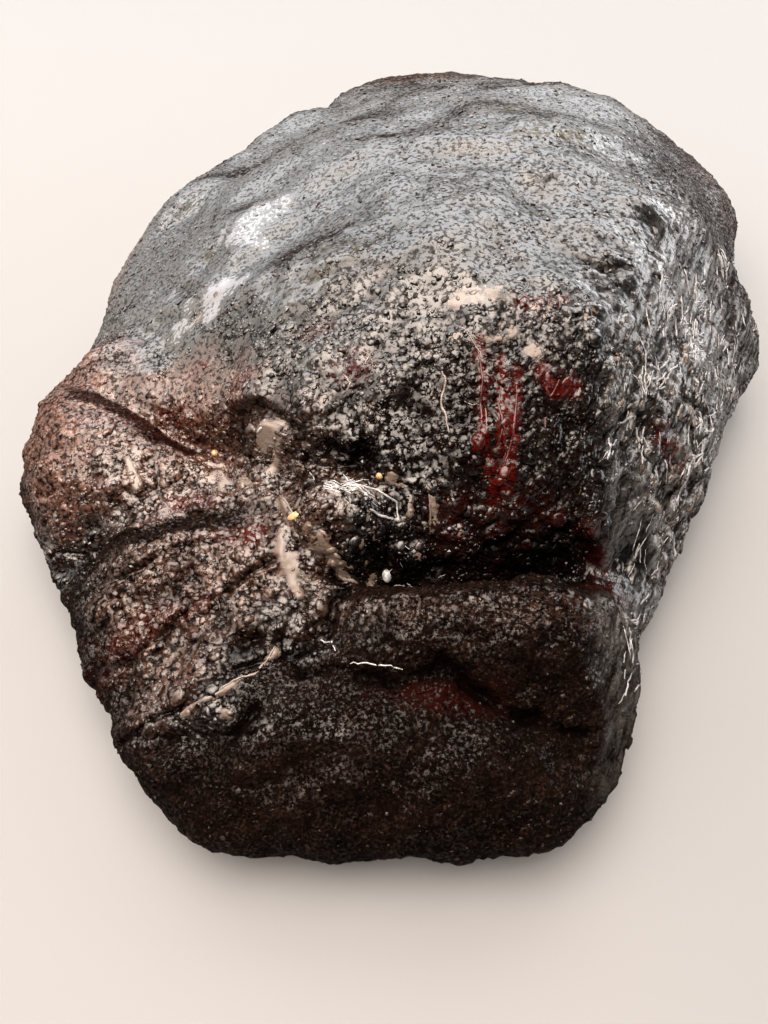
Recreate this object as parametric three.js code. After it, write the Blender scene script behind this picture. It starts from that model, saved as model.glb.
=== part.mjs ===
// A whole smoked beef brisket at its real size, in millimetres, with +Z up.
// It lies on its flat underside. The origin is the middle of its footprint, at the level it rests on.
// -Y is the thick blunt end, +Y the thin end, and +X the side that falls away most steeply.
// The meat is one solid: a top sheet of swelling lobes with folds between them, a rounded rim,
// and an underside that is flat except where it curls up to the rim.
import * as THREE from "three";

// Driving dimensions
const LENGTH = 390;
const WIDTH = 276;
const HEIGHT = 94;
const NEAR_RIM = 15; // height of the widest line at the blunt end
const FAR_RIM = 23; // and at the thin end
const FLAT_SHARE = 0.88; // of the way out from the middle, where the underside starts to curl up
const NEAR_ROUNDING = 6; // power of the curve by which the top rounds down to the rim at the blunt end
const FAR_ROUNDING = 11; // and at the thin end

// Mesh fineness
const ROWS = 74; // of squares in the top sheet, from the blunt end to the thin end
const COLUMNS = 54;
const CROWDING = 0.15; // how far the rows crowd towards the blunt end, where the folds are
const EVENING = 0.4; // share of the way that points move each time the body is evened out
const EVENING_PASSES = 2;
const CURL_STEPS = 3; // rings in the curl of the underside
const PROFILE_STEPS = 60; // samples along each slice from the middle to the rim
const OUTLINE_STEPS = 720; // samples round the plan outline

// The plan outline, anticlockwise from the blunt end: shares of WIDTH and LENGTH.
const OUTLINE = [
  [-0.089, -0.499], [0.068, -0.493], [0.127, -0.463], [0.164, -0.407], [0.182, -0.367], [0.224, -0.304],
  [0.297, -0.215], [0.38, -0.107], [0.433, -0.048], [0.429, 0.035], [0.472, 0.133], [0.499, 0.197],
  [0.48, 0.288], [0.422, 0.376], [0.338, 0.455], [0.215, 0.487], [0.04, 0.498], [-0.089, 0.491],
  [-0.2, 0.378], [-0.308, 0.279], [-0.396, 0.19], [-0.46, 0.064], [-0.47, -0.063], [-0.497, -0.151],
  [-0.493, -0.22], [-0.433, -0.289], [-0.401, -0.323], [-0.383, -0.353], [-0.348, -0.387], [-0.309, -0.428],
  [-0.268, -0.469], [-0.19, -0.497],
];

// Swelling lobes of the top. Each is a mound with its middle at x and y, turned about +Z. It falls from top
// by drop where it reaches its half-widths right, left, far and near, along a curve of the given power.
const LOBES = {
  plateau: {
    x: -0.006 * WIDTH, y: 0.113 * LENGTH, turn: 0,
    right: 0.459 * WIDTH, left: 0.459 * WIDTH, far: 0.392 * LENGTH, near: 0.334 * LENGTH,
    top: 0.64 * HEIGHT, drop: 0.12 * HEIGHT, power: 4, nearPower: 4,
  },
  hump: {
    x: 0.068 * WIDTH, y: -0.073 * LENGTH, turn: -12,
    right: 0.312 * WIDTH, left: 0.459 * WIDTH, far: 0.491 * LENGTH, near: 0.255 * LENGTH,
    top: HEIGHT, drop: 0.48 * HEIGHT, power: 2.2, nearPower: 4,
  },
  nose: {
    x: -0.079 * WIDTH, y: -0.416 * LENGTH, turn: 0,
    right: 0.248 * WIDTH, left: 0.276 * WIDTH, far: 0.118 * LENGTH, near: 0.157 * LENGTH,
    top: 0.56 * HEIGHT, drop: 0.2 * HEIGHT, power: 4, nearPower: 4,
  },
  shoulder: {
    x: -0.355 * WIDTH, y: -0.181 * LENGTH, turn: 10,
    right: 0.202 * WIDTH, left: 0.165 * WIDTH, far: 0.128 * LENGTH, near: 0.098 * LENGTH,
    top: 0.62 * HEIGHT, drop: 0.22 * HEIGHT, power: 4, nearPower: 4,
  },
  flankFold: {
    x: -0.282 * WIDTH, y: -0.328 * LENGTH, turn: 28,
    right: 0.184 * WIDTH, left: 0.165 * WIDTH, far: 0.069 * LENGTH, near: 0.078 * LENGTH,
    top: 0.54 * HEIGHT, drop: 0.2 * HEIGHT, power: 4, nearPower: 4,
  },
  knuckle: {
    x: -0.084 * WIDTH, y: -0.299 * LENGTH, turn: -10,
    right: 0.092 * WIDTH, left: 0.101 * WIDTH, far: 0.059 * LENGTH, near: 0.049 * LENGTH,
    top: 0.67 * HEIGHT, drop: 0.25 * HEIGHT, power: 3, nearPower: 3,
  },
  middle: {
    x: 0.012 * WIDTH, y: -0.377 * LENGTH, turn: 0,
    right: 0.184 * WIDTH, left: 0.156 * WIDTH, far: 0.054 * LENGTH, near: 0.059 * LENGTH,
    top: 0.59 * HEIGHT, drop: 0.16 * HEIGHT, power: 3, nearPower: 3,
  },
  cheek: {
    x: 0.187 * WIDTH, y: -0.259 * LENGTH, turn: -25,
    right: 0.101 * WIDTH, left: 0.092 * WIDTH, far: 0.118 * LENGTH, near: 0.088 * LENGTH,
    top: 0.54 * HEIGHT, drop: 0.25 * HEIGHT, power: 3, nearPower: 3,
  },
};
const LOBE_BLEND = 5; // how softly two lobes meet

// Folds pressed into the top, from left to right: a depth, a half-width, how far the meat above leans out
// over the fold, and a path in shares of WIDTH and LENGTH.
const FOLDS = [
  {
    depth: 22, half: 6, lip: 7,
    path: [
      [-0.135, -0.338], [-0.033, -0.332], [0.04, -0.322], [0.086, -0.32], [0.132, -0.314],
      [0.187, -0.296],
    ],
  },
  {
    depth: 13, half: 5.5, lip: 7,
    path: [
      [-0.493, -0.112], [-0.355, -0.175], [-0.309, -0.195], [-0.248, -0.219], [-0.213, -0.227],
      [-0.166, -0.252], [-0.141, -0.261], [-0.052, -0.283],
    ],
  },
  {
    depth: 10, half: 5, lip: 2,
    path: [[-0.465, -0.279], [-0.41, -0.274], [-0.314, -0.293], [-0.271, -0.286], [-0.19, -0.274]],
  },
  {
    depth: 10, half: 5, lip: 3,
    path: [
      [-0.392, -0.387], [-0.3, -0.383], [-0.272, -0.371], [-0.254, -0.361], [-0.219, -0.345],
      [-0.153, -0.323],
    ],
  },
  {
    depth: 11, half: 5, lip: 4,
    path: [
      [-0.318, -0.436], [-0.27, -0.425], [-0.22, -0.409], [-0.185, -0.398], [-0.135, -0.387],
      [-0.121, -0.375], [-0.107, -0.348],
    ],
  },
  {
    depth: 12, half: 5, lip: 4,
    path: [
      [-0.153, -0.402], [-0.058, -0.406], [-0.024, -0.408], [0.018, -0.42], [0.05, -0.428],
      [0.123, -0.431],
    ],
  },
  {
    depth: 7, half: 4, lip: 2,
    path: [[-0.282, -0.441], [-0.229, -0.436], [-0.201, -0.438], [-0.176, -0.422]],
  },
  {
    depth: 8, half: 9, lip: 0,
    path: [[0.16, -0.259], [0.182, -0.239], [0.273, -0.135], [0.371, -0.024]],
  },
];
const FOLD_TAPER = 8; // a fold peters out over this fraction of its path at each end

// Shallow basins in the top: a middle in shares of WIDTH and LENGTH, a radius and a depth.
const BASINS = [
  { x: -0.263, y: -0.122, radius: 38, depth: 6 },
  { x: -0.19, y: -0.034, radius: 30, depth: 3 },
];

// Gentle unevenness of the top: swells that cross each other, each with its height, the wavelengths of its
// two runs, and the way it heads in degrees.
const SWELLS = [
  { height: 2.2, across: 118, along: 97, heading: 20, phase: 0.4 },
  { height: 1.9, across: 71, along: 83, heading: 64, phase: 1.9 },
  { height: 1.5, across: 47, along: 56, heading: 108, phase: 3.1 },
  { height: 1.1, across: 33, along: 38, heading: -25, phase: 4.4 },
];

const inPlan = ([across, along]) => new THREE.Vector2(across * WIDTH, along * LENGTH);

// The outline as a radius for each bearing, read from a closed spline through its points.
function outlineRadii() {
  const points = OUTLINE.map((share) => inPlan(share)).map((p) => new THREE.Vector3(p.x, p.y, 0));
  const spline = new THREE.CatmullRomCurve3(points, true, "centripetal");
  const around = spline.getPoints(OUTLINE_STEPS);
  const bearings = around.map((p) => ({ bearing: Math.atan2(p.y, p.x), radius: Math.hypot(p.x, p.y) }));
  return bearings.sort((a, b) => a.bearing - b.bearing);
}

const RADII = outlineRadii();

function outlineRadius(bearing) {
  const after = RADII.findIndex((entry) => entry.bearing >= bearing);
  const next = RADII[after < 0 ? 0 : after];
  const last = RADII[after <= 0 ? RADII.length - 1 : after - 1];
  const turn = 2 * Math.PI;
  const gap = (next.bearing - last.bearing + turn) % turn || 1;
  const share = ((bearing - last.bearing + turn) % turn) / gap;
  return last.radius + (next.radius - last.radius) * share;
}

function softMaximum(a, b, blend) {
  const near = Math.max(blend - Math.abs(a - b), 0) / blend;
  return Math.max(a, b) + (near * near * blend) / 4;
}

function lobeHeight(lobe, x, y) {
  const angle = THREE.MathUtils.degToRad(lobe.turn);
  const across = (x - lobe.x) * Math.cos(angle) + (y - lobe.y) * Math.sin(angle);
  const along = (y - lobe.y) * Math.cos(angle) - (x - lobe.x) * Math.sin(angle);
  const outX = across / (across > 0 ? lobe.right : lobe.left);
  const outY = along / (along > 0 ? lobe.far : lobe.near);
  const out = Math.hypot(outX, outY);
  const nearShare = out > 0 && along < 0 ? (outY / out) ** 2 : 0;
  const power = lobe.power + (lobe.nearPower - lobe.power) * nearShare;
  return lobe.top - lobe.drop * out ** power;
}

function swellHeight(x, y) {
  return SWELLS.reduce((sum, swell) => {
    const heading = THREE.MathUtils.degToRad(swell.heading);
    const across = (2 * Math.PI * (x * Math.cos(heading) + y * Math.sin(heading))) / swell.across;
    const along = (2 * Math.PI * (y * Math.cos(heading) - x * Math.sin(heading))) / swell.along;
    return sum + swell.height * Math.sin(across + swell.phase) * Math.cos(along - swell.phase);
  }, 0);
}

// The distance to a path, the direction away from it, and how full the fold is at its nearest point.
function nearestOnPath(path, x, y) {
  const here = new THREE.Vector2(x, y);
  let nearest = { distance: Infinity };
  for (let i = 1; i < path.length; i++) {
    const run = path[i].clone().sub(path[i - 1]);
    const along = here.clone().sub(path[i - 1]).dot(run) / run.lengthSq();
    const step = THREE.MathUtils.clamp(along, 0, 1);
    const foot = path[i - 1].clone().addScaledVector(run, step);
    const away = here.clone().sub(foot);
    if (away.length() < nearest.distance) {
      const progress = (i - 1 + step) / (path.length - 1);
      const fullness = Math.min(1, FOLD_TAPER * progress, FOLD_TAPER * (1 - progress));
      nearest = { distance: away.length(), away: away.normalize(), fullness };
    }
  }
  return nearest;
}

const FOLD_PATHS = FOLDS.map((fold) => ({ ...fold, path: fold.path.map((share) => inPlan(share)) }));

function foldDepth(x, y) {
  return FOLD_PATHS.reduce((deepest, fold) => {
    const { distance, fullness } = nearestOnPath(fold.path, x, y);
    return Math.max(deepest, fold.depth * fullness * Math.exp(-((distance / fold.half) ** 2)));
  }, 0);
}

// The meat on the far side of a fold leans out over it, except near the rim.
function leanOverFolds(point, wayOut) {
  const leaning = point.clone();
  FOLD_PATHS.forEach((fold) => {
    const { distance, away, fullness } = nearestOnPath(fold.path, point.x, point.y);
    const above = distance / fold.half - 1;
    const lean = away.y > 0 ? fold.lip * fullness * (1 - wayOut ** 4) * Math.exp(-above * above) : 0;
    leaning.x -= lean * away.x;
    leaning.y -= lean * away.y;
  });
  return leaning;
}

function basinDepth(x, y) {
  return BASINS.reduce((sum, basin) => {
    const away = Math.hypot(x - basin.x * WIDTH, y - basin.y * LENGTH) / basin.radius;
    return sum + basin.depth * Math.exp(-away * away);
  }, 0);
}

// Height of the widest line round the meat, where its top and underside meet.
function rimHeight(bearing) {
  return (NEAR_RIM + FAR_RIM) / 2 + ((FAR_RIM - NEAR_RIM) / 2) * Math.sin(bearing);
}

// Height of the top before its edge is rounded down to the rim.
function crownHeight(x, y) {
  const lobes = Object.values(LOBES).map((lobe) => lobeHeight(lobe, x, y));
  const crown = lobes.reduce((a, b) => softMaximum(a, b, LOBE_BLEND));
  return Math.max(crown, FAR_RIM) + swellHeight(x, y) - foldDepth(x, y) - basinDepth(x, y);
}

// share is 0 in the middle and 1 at the rim, where the side stands upright.
function topHeight(x, y, bearing, share) {
  const rim = rimHeight(bearing);
  const power = (NEAR_ROUNDING + FAR_ROUNDING + (FAR_ROUNDING - NEAR_ROUNDING) * Math.sin(bearing)) / 2;
  const rounding = Math.sqrt(Math.max(0, 1 - share ** power));
  return rim + (crownHeight(x, y) - rim) * rounding;
}

// One slice of the top from the middle to the rim, with points that lie evenly along the surface.
function sliceAt(bearing) {
  const radius = outlineRadius(bearing);
  const samples = [];
  let travelled = 0;
  for (let i = 0; i <= PROFILE_STEPS; i++) {
    const share = Math.sin((Math.PI / 2) * (i / PROFILE_STEPS));
    const x = share * radius * Math.cos(bearing);
    const y = share * radius * Math.sin(bearing);
    const point = new THREE.Vector3(x, y, topHeight(x, y, bearing, share));
    if (i > 0) travelled += point.distanceTo(samples[i - 1].point);
    samples.push({ point, travelled });
  }
  return (wayOut) => {
    const wanted = wayOut * travelled;
    const after = Math.max(1, samples.findIndex((sample) => sample.travelled >= wanted - 1e-9));
    const [from, to] = [samples[after - 1], samples[after]];
    const step = (wanted - from.travelled) / (to.travelled - from.travelled);
    return from.point.clone().lerp(to.point, THREE.MathUtils.clamp(step, 0, 1));
  };
}

// The top sheet is a square grid drawn out to the round outline, so that its cells stay even.
function topSheet(positions, indices) {
  const at = (row, column) => row * (COLUMNS + 1) + column;
  for (let row = 0; row <= ROWS; row++) {
    const even = (2 * row) / ROWS - 1;
    const v = even - CROWDING * (1 - even * even);
    for (let column = 0; column <= COLUMNS; column++) {
      const u = (2 * column) / COLUMNS - 1;
      const across = u * Math.sqrt(1 - (v * v) / 2);
      const along = v * Math.sqrt(1 - (u * u) / 2);
      const wayOut = Math.max(Math.abs(u), Math.abs(v)) === 1 ? 1 : Math.hypot(across, along);
      const point = sliceAt(Math.atan2(along, across))(wayOut);
      positions.push(...leanOverFolds(point, wayOut));
    }
  }
  for (let row = 0; row < ROWS; row++) {
    for (let column = 0; column < COLUMNS; column++) {
      const [a, b] = [at(row, column), at(row, column + 1)];
      const [c, d] = [at(row + 1, column + 1), at(row + 1, column)];
      const rising = (row < ROWS / 2) === (column < COLUMNS / 2);
      indices.push(...(rising ? [a, b, c, a, c, d] : [a, b, d, b, c, d]));
    }
  }
}

// Indices of the top sheet's rim, anticlockwise from above.
function rimOfSheet() {
  const rim = [];
  for (let i = 0; i < COLUMNS; i++) rim.push(i);
  for (let i = 0; i < ROWS; i++) rim.push(i * (COLUMNS + 1) + COLUMNS);
  for (let i = COLUMNS; i > 0; i--) rim.push(ROWS * (COLUMNS + 1) + i);
  for (let i = ROWS; i > 0; i--) rim.push(i * (COLUMNS + 1));
  return rim;
}

// The underside: rings that curl down from the rim to a flat foot, closed by a fan.
function underside(positions, indices) {
  let ring = rimOfSheet();
  const rim = ring.map((index) => new THREE.Vector3().fromArray(positions, 3 * index));
  for (let step = 1; step <= CURL_STEPS; step++) {
    const angle = (Math.PI / 2) * (step / CURL_STEPS);
    const share = FLAT_SHARE + (1 - FLAT_SHARE) * Math.cos(angle);
    const lower = rim.map((point) => {
      positions.push(point.x * share, point.y * share, point.z * (1 - Math.sin(angle)));
      return positions.length / 3 - 1;
    });
    ring.forEach((upper, i) => {
      const next = (i + 1) % ring.length;
      indices.push(upper, lower[i], ring[next], ring[next], lower[i], lower[next]);
    });
    ring = lower;
  }
  positions.push(0, 0, 0);
  const middle = positions.length / 3 - 1;
  ring.forEach((index, i) => indices.push(index, middle, ring[(i + 1) % ring.length]));
}

// Evens out the body: each point above the foot moves part of the way to the middle of its neighbours.
function evenOut(positions, indices) {
  const before = positions.slice();
  const sums = new Array(positions.length).fill(0);
  const counts = new Array(positions.length / 3).fill(0);
  for (let corner = 0; corner < indices.length; corner++) {
    const here = indices[corner];
    const next = indices[corner % 3 === 2 ? corner - 2 : corner + 1];
    counts[here] += 1;
    for (let axis = 0; axis < 3; axis++) sums[3 * here + axis] += before[3 * next + axis];
  }
  for (let i = 0; i < positions.length; i++) {
    const vertex = Math.floor(i / 3);
    const onFoot = before[3 * vertex + 2] < 1e-6;
    if (!onFoot) positions[i] += (sums[i] / counts[vertex] - before[i]) * EVENING;
  }
}

// Fits the meat exactly to its named sizes and sets it on the origin.
function fitToSizes(geometry) {
  geometry.computeBoundingBox();
  const size = geometry.boundingBox.getSize(new THREE.Vector3());
  geometry.scale(WIDTH / size.x, LENGTH / size.y, HEIGHT / size.z);
  geometry.computeBoundingBox();
  const middle = geometry.boundingBox.getCenter(new THREE.Vector3());
  geometry.translate(-middle.x, -middle.y, 0);
}

function meatGeometry() {
  const positions = [];
  const indices = [];
  topSheet(positions, indices);
  underside(positions, indices);
  for (let pass = 0; pass < EVENING_PASSES; pass++) evenOut(positions, indices);
  const geometry = new THREE.BufferGeometry();
  geometry.setAttribute("position", new THREE.Float32BufferAttribute(positions, 3));
  geometry.setIndex(indices);
  fitToSizes(geometry);
  geometry.computeVertexNormals();
  return geometry;
}

function darkBark() {
  return new THREE.MeshStandardMaterial({ color: 0x2a1c17, roughness: 0.45, metalness: 0 });
}

const brisket = new THREE.Mesh(meatGeometry(), darkBark());
brisket.name = "brisket";

const part = new THREE.Group();
part.add(brisket);
export default part;
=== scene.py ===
"""The looks of a whole smoked beef brisket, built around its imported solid.

The meat is a fine copy of the solid with a lumpy bark, wet film and pools worked into its surface. Crumbs of
bark, cracked pepper, fat and juice lie on it as pieces of their own. Lengths are in metres.
"""

import logging
import math
from dataclasses import dataclass, field
from enum import Enum
from itertools import product
from typing import Any, Callable, Iterable, Sequence

import bmesh
import bpy
import numpy as np
from mathutils import Matrix, Vector, noise
from mathutils.bvhtree import BVHTree

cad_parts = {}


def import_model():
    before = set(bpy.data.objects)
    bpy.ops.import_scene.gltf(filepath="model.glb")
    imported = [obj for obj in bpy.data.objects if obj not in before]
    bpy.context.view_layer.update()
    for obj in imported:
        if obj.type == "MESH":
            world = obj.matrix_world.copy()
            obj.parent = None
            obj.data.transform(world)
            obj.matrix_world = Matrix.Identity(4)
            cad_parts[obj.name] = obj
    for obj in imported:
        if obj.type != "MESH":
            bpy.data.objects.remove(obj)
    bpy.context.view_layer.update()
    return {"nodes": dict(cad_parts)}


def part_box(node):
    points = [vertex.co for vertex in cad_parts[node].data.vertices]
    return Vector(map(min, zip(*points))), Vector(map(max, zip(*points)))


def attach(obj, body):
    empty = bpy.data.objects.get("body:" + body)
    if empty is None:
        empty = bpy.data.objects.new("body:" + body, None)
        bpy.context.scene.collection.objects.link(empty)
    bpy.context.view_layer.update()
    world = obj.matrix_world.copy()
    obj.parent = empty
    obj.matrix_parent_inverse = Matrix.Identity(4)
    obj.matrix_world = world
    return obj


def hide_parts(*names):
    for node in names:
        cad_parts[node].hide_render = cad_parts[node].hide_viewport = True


LOG = logging.getLogger("brisket")

NODE = "brisket"
BODY = "root"
MM = 0.001
PICTURE_SIDES = (768, 1024)
STREAK_WAY = (-0.40, -0.90, -0.17)  # down the steep flank towards the blunt end
DOWN = Vector((0.0, 0.0, -1.0))
RAY_HEIGHT = 1.0  # well above the meat
TONE = "tone"  # the attribute that says how light a grain is

Colour = tuple[float, float, float]
Triple = tuple[float, float, float]
Place = tuple[float, float]
Field = np.ndarray


class Look(Enum):
    """What a stretch of the bark's surface looks like. Each is an attribute of the meat."""

    FILM = "film"
    POOL = "pool"
    DRY = "dry"
    BROWN = "brown"
    RED = "red"
    OLIVE = "olive"
    # Painted shade: how deep in a crease or sunken hollow each point lies
    HOLLOW_SHADE = "hollow_shade"
    STREAK = "streak"


@dataclass(frozen=True)
class Fade:
    """A smooth change from 0 at one value to 1 at another, which may be the smaller of the two."""

    start: float
    end: float

    def of(self, value: Field) -> Field:
        """How far along the change each value is."""
        share = np.clip((value - self.start) / (self.end - self.start), 0.0, 1.0)
        return share * share * (3.0 - 2.0 * share)


@dataclass(frozen=True)
class Ripple:
    """Smooth noise over the meat.

    Attributes:
        wavelength: The length over which it changes.
        shift: Moves it, so that two ripples differ.
        height: How far it goes either way.
    """

    wavelength: float
    shift: float
    height: float = 1.0

    def over(self, points: Field) -> Field:
        """The noise at each point."""
        scale = 1.0 / self.wavelength
        offset = Vector((self.shift, 2.3 * self.shift, -1.7 * self.shift))
        return self.height * np.array([noise.noise(Vector(p) * scale + offset) for p in points])


@dataclass(frozen=True)
class Domes:
    """Rounded lumps over the meat that meet in sharp creases.

    Attributes:
        wavelength: The usual distance between two lumps.
        shift: Moves them.
        height: How high a lump stands above the crease beside it.
        sunk: The share of its height that a lump is sunk by.
    """

    wavelength: float
    shift: float
    height: float
    sunk: float

    def over(self, points: Field) -> Field:
        """How far the lumps stand out at each point."""
        scale = 1.0 / self.wavelength
        offset = Vector((self.shift, -self.shift, 0.5 * self.shift))
        nearest = [noise.voronoi(Vector(p) * scale + offset)[0] for p in points]
        gaps = np.array([second - first for first, second, *_ in nearest])
        return self.height * (np.sqrt(np.clip(gaps * 1.6, 0.0, 1.0)) - self.sunk)


@dataclass(frozen=True)
class Plan:
    """The brisket's size, and its height over the floor. Turns shares of its width and length into metres."""

    width: float
    length: float
    height: float

    def place(self, share: Place) -> Place:
        """The point in metres at a share of the width and the length."""
        return share[0] * self.width, share[1] * self.length


PATCH_EDGE = Fade(1.5, 0.6)  # in half-sizes out from the middle
TRAIL_EDGE = Fade(1.7, 0.5)


@dataclass(frozen=True)
class Patch:
    """A round or oval stretch of the surface, seen from above.

    Attributes:
        middle: Shares of the width and the length.
        across: Half its size along its own first axis, in millimetres.
        along: Half its size along its own second axis, in millimetres.
        turn: How far it is turned about +Z, in degrees.
        strength: How strong the look is in the middle.
    """

    middle: Place
    across: float
    along: float
    turn: float = 0.0
    strength: float = 1.0

    def mask(self, points: Field, plan: Plan, wobble: Field) -> Field:
        """How strongly the patch covers each point.

        Args:
            points: One row for each point.
            plan: The brisket's size.
            wobble: Noise that makes the edge uneven.

        Returns:
            A value from 0 to the strength for each point.
        """
        x, y = plan.place(self.middle)
        angle = math.radians(self.turn)
        right = points[:, 0] - x
        far = points[:, 1] - y
        first = (right * math.cos(angle) + far * math.sin(angle)) / (self.across * MM)
        second = (far * math.cos(angle) - right * math.sin(angle)) / (self.along * MM)
        return self.strength * PATCH_EDGE.of(np.hypot(first, second) + 0.45 * wobble)


@dataclass(frozen=True)
class Trail:
    """A narrow stretch of the surface along a path, seen from above.

    Attributes:
        path: Points as shares of the width and the length.
        half: Half its width, in millimetres.
        strength: How strong the look is in the middle.
    """

    path: tuple[Place, ...]
    half: float
    strength: float = 1.0

    def mask(self, points: Field, plan: Plan, wobble: Field) -> Field:
        """How strongly the trail covers each point, as a patch's mask does."""
        away = distance_to_path(points, [plan.place(share) for share in self.path])
        return self.strength * TRAIL_EDGE.of(away / (self.half * MM) + 0.5 * wobble)


@dataclass(frozen=True)
class Crease:
    """A groove along a path, seen from above, with its depth and half-width in millimetres."""

    path: tuple[Place, ...]
    depth: float
    half: float


def stretched(points: Field, way: Triple, share: float) -> Field:
    """Squeezes points along a direction, so that noise runs along it in streaks."""
    reach = points @ np.array(way)
    return points + (share - 1.0) * reach[:, None] * np.array(way)


def distance_to_path(points: Field, path: Sequence[Place]) -> Field:
    """The distance in plan from each point to a path.

    Args:
        points: One row for each point.
        path: Points in metres.

    Returns:
        One distance for each point.
    """
    nearest = np.full(len(points), np.inf)
    for start, end in zip(path, path[1:]):
        run = np.subtract(end, start)
        offset = points[:, :2] - start
        share = np.clip(offset @ run / (run @ run), 0.0, 1.0)
        nearest = np.minimum(nearest, np.hypot(*(offset - share[:, None] * run).T))
    return nearest


# Where each look lies, as patches and trails seen from above
POOLS = (
    Patch((-0.272, -0.110), 13.0, 10.5, 10.0, 0.95),
    Patch((-0.222, -0.012), 11.0, 23.0, -20.0, 0.9),
    Patch((-0.300, 0.060), 8.0, 16.0, -25.0, 0.7),
    Patch((-0.160, 0.120), 10.0, 18.0, -10.0, 0.7),
    Patch((0.041, -0.192), 6.0, 3.6, 0.0, 0.8),
    Patch((0.010, -0.193), 11.0, 3.2, -8.0, 0.8),
    Patch((0.030, -0.221), 6.0, 3.0, 0.0, 0.75),
    Patch((0.068, -0.235), 5.0, 2.6, 0.0, 0.75),
    Trail(((-0.193, -0.243), (-0.172, -0.252), (-0.182, -0.263), (-0.205, -0.263)), 1.5, 0.9),
    Trail(((-0.160, -0.316), (-0.145, -0.322), (-0.131, -0.327)), 3.0, 0.95),
    Trail(((-0.205, -0.263), (-0.218, -0.259)), 1.5),
    Trail(((-0.262, -0.252), (-0.247, -0.246), (-0.238, -0.257)), 2.1),
    Trail(((-0.171, -0.290), (-0.160, -0.309), (-0.147, -0.321), (-0.131, -0.328)), 1.5),
    Trail(((-0.131, -0.328), (-0.118, -0.334), (-0.100, -0.339)), 1.9),
    Trail(((-0.163, -0.318), (-0.163, -0.331), (-0.153, -0.351), (-0.149, -0.357)), 1.6),
    Patch((-0.148, -0.333), 8.0, 6.0, 0.0, 0.92),
    Patch((-0.156, -0.318), 5.0, 4.0, 0.0, 0.90),
    Patch((-0.098, -0.340), 6.0, 3.0, 0.0, 0.9),
    Trail(((-0.064, -0.292), (-0.050, -0.300), (-0.048, -0.313)), 1.3),
    Trail(((-0.027, -0.303), (-0.025, -0.320)), 0.9, 0.9),
    Trail(((-0.338, -0.242), (-0.325, -0.259)), 1.5),
    Patch((-0.216, -0.431), 6.0, 2.0, 4.0, 0.9),
    Trail(((-0.243, -0.428), (-0.200, -0.416), (-0.180, -0.407), (-0.168, -0.391)), 1.1),
    Trail(((-0.130, -0.393), (-0.100, -0.397), (-0.070, -0.405)), 1.1, 0.75),
)
FILMS = (
    Patch((-0.20, 0.10), 70.0, 105.0, -14.0, 0.85),
    Patch((0.06, 0.24), 120.0, 105.0, 0.0, 0.80),
    Patch((0.04, -0.05), 85.0, 60.0, 0.0, 0.55),
    Patch((0.02, -0.150), 60.0, 24.0, 0.0, 0.50),
    Patch((-0.14, -0.17), 55.0, 30.0, 20.0, 0.46),
    Patch((-0.25, -0.27), 28.0, 28.0, 20.0, 0.26),
    Patch((-0.20, -0.40), 32.0, 15.0, 20.0, 0.30),
    Patch((-0.40, -0.20), 30.0, 30.0, 0.0, 0.45),
    Patch((0.30, -0.10), 20.0, 60.0, 20.0, 0.55),
    Patch((0.17, -0.31), 11.0, 13.0, 0.0, 0.85),
    Patch((0.15, -0.38), 9.0, 14.0, 0.0, 0.65),
)
DRY_PARTS = (
    Patch((0.02, -0.395), 40.0, 12.0, 0.0, 0.72),
    Patch((0.150, -0.400), 14.0, 20.0, 0.0, 0.70),
    Patch((0.01, -0.432), 46.0, 15.0, 0.0, 0.90),
    Patch((-0.02, -0.416), 50.0, 11.0, 0.0, 0.84),
    Patch((0.12, -0.440), 22.0, 18.0, 0.0, 0.95),
    Patch((0.045, -0.270), 26.0, 19.0, 0.0, 0.38),
    Patch((-0.24, -0.355), 38.0, 18.0, 0.0, 0.24),
    Patch((-0.36, -0.360), 18.0, 14.0, 0.0, 0.30),
    Patch((0.36, 0.05), 28.0, 46.0, 0.0, 0.62),
    Patch((-0.060, 0.435), 54.0, 18.0, -3.0, 0.80),
    Patch((-0.460, -0.170), 14.0, 34.0, 10.0, 0.45),
    Patch((0.440, 0.220), 26.0, 48.0, 0.0, 0.65),
)
BROWNS = (
    Patch((-0.445, -0.190), 24.0, 36.0, 10.0, 1.0),
    Patch((-0.310, -0.215), 26.0, 20.0, -14.0, 0.75),
    Patch((-0.300, -0.385), 24.0, 20.0, 40.0, 0.50),
    Patch((-0.240, -0.300), 32.0, 26.0, 0.0, 0.46),
    Patch((0.000, -0.365), 44.0, 9.0, 0.0, 0.22),
    Patch((-0.060, 0.425), 50.0, 15.0, -3.0, 0.5),
    Patch((0.480, 0.190), 22.0, 40.0, 0.0, 0.45),
    Patch((-0.470, 0.060), 12.0, 60.0, -10.0, 0.45),
)
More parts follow.
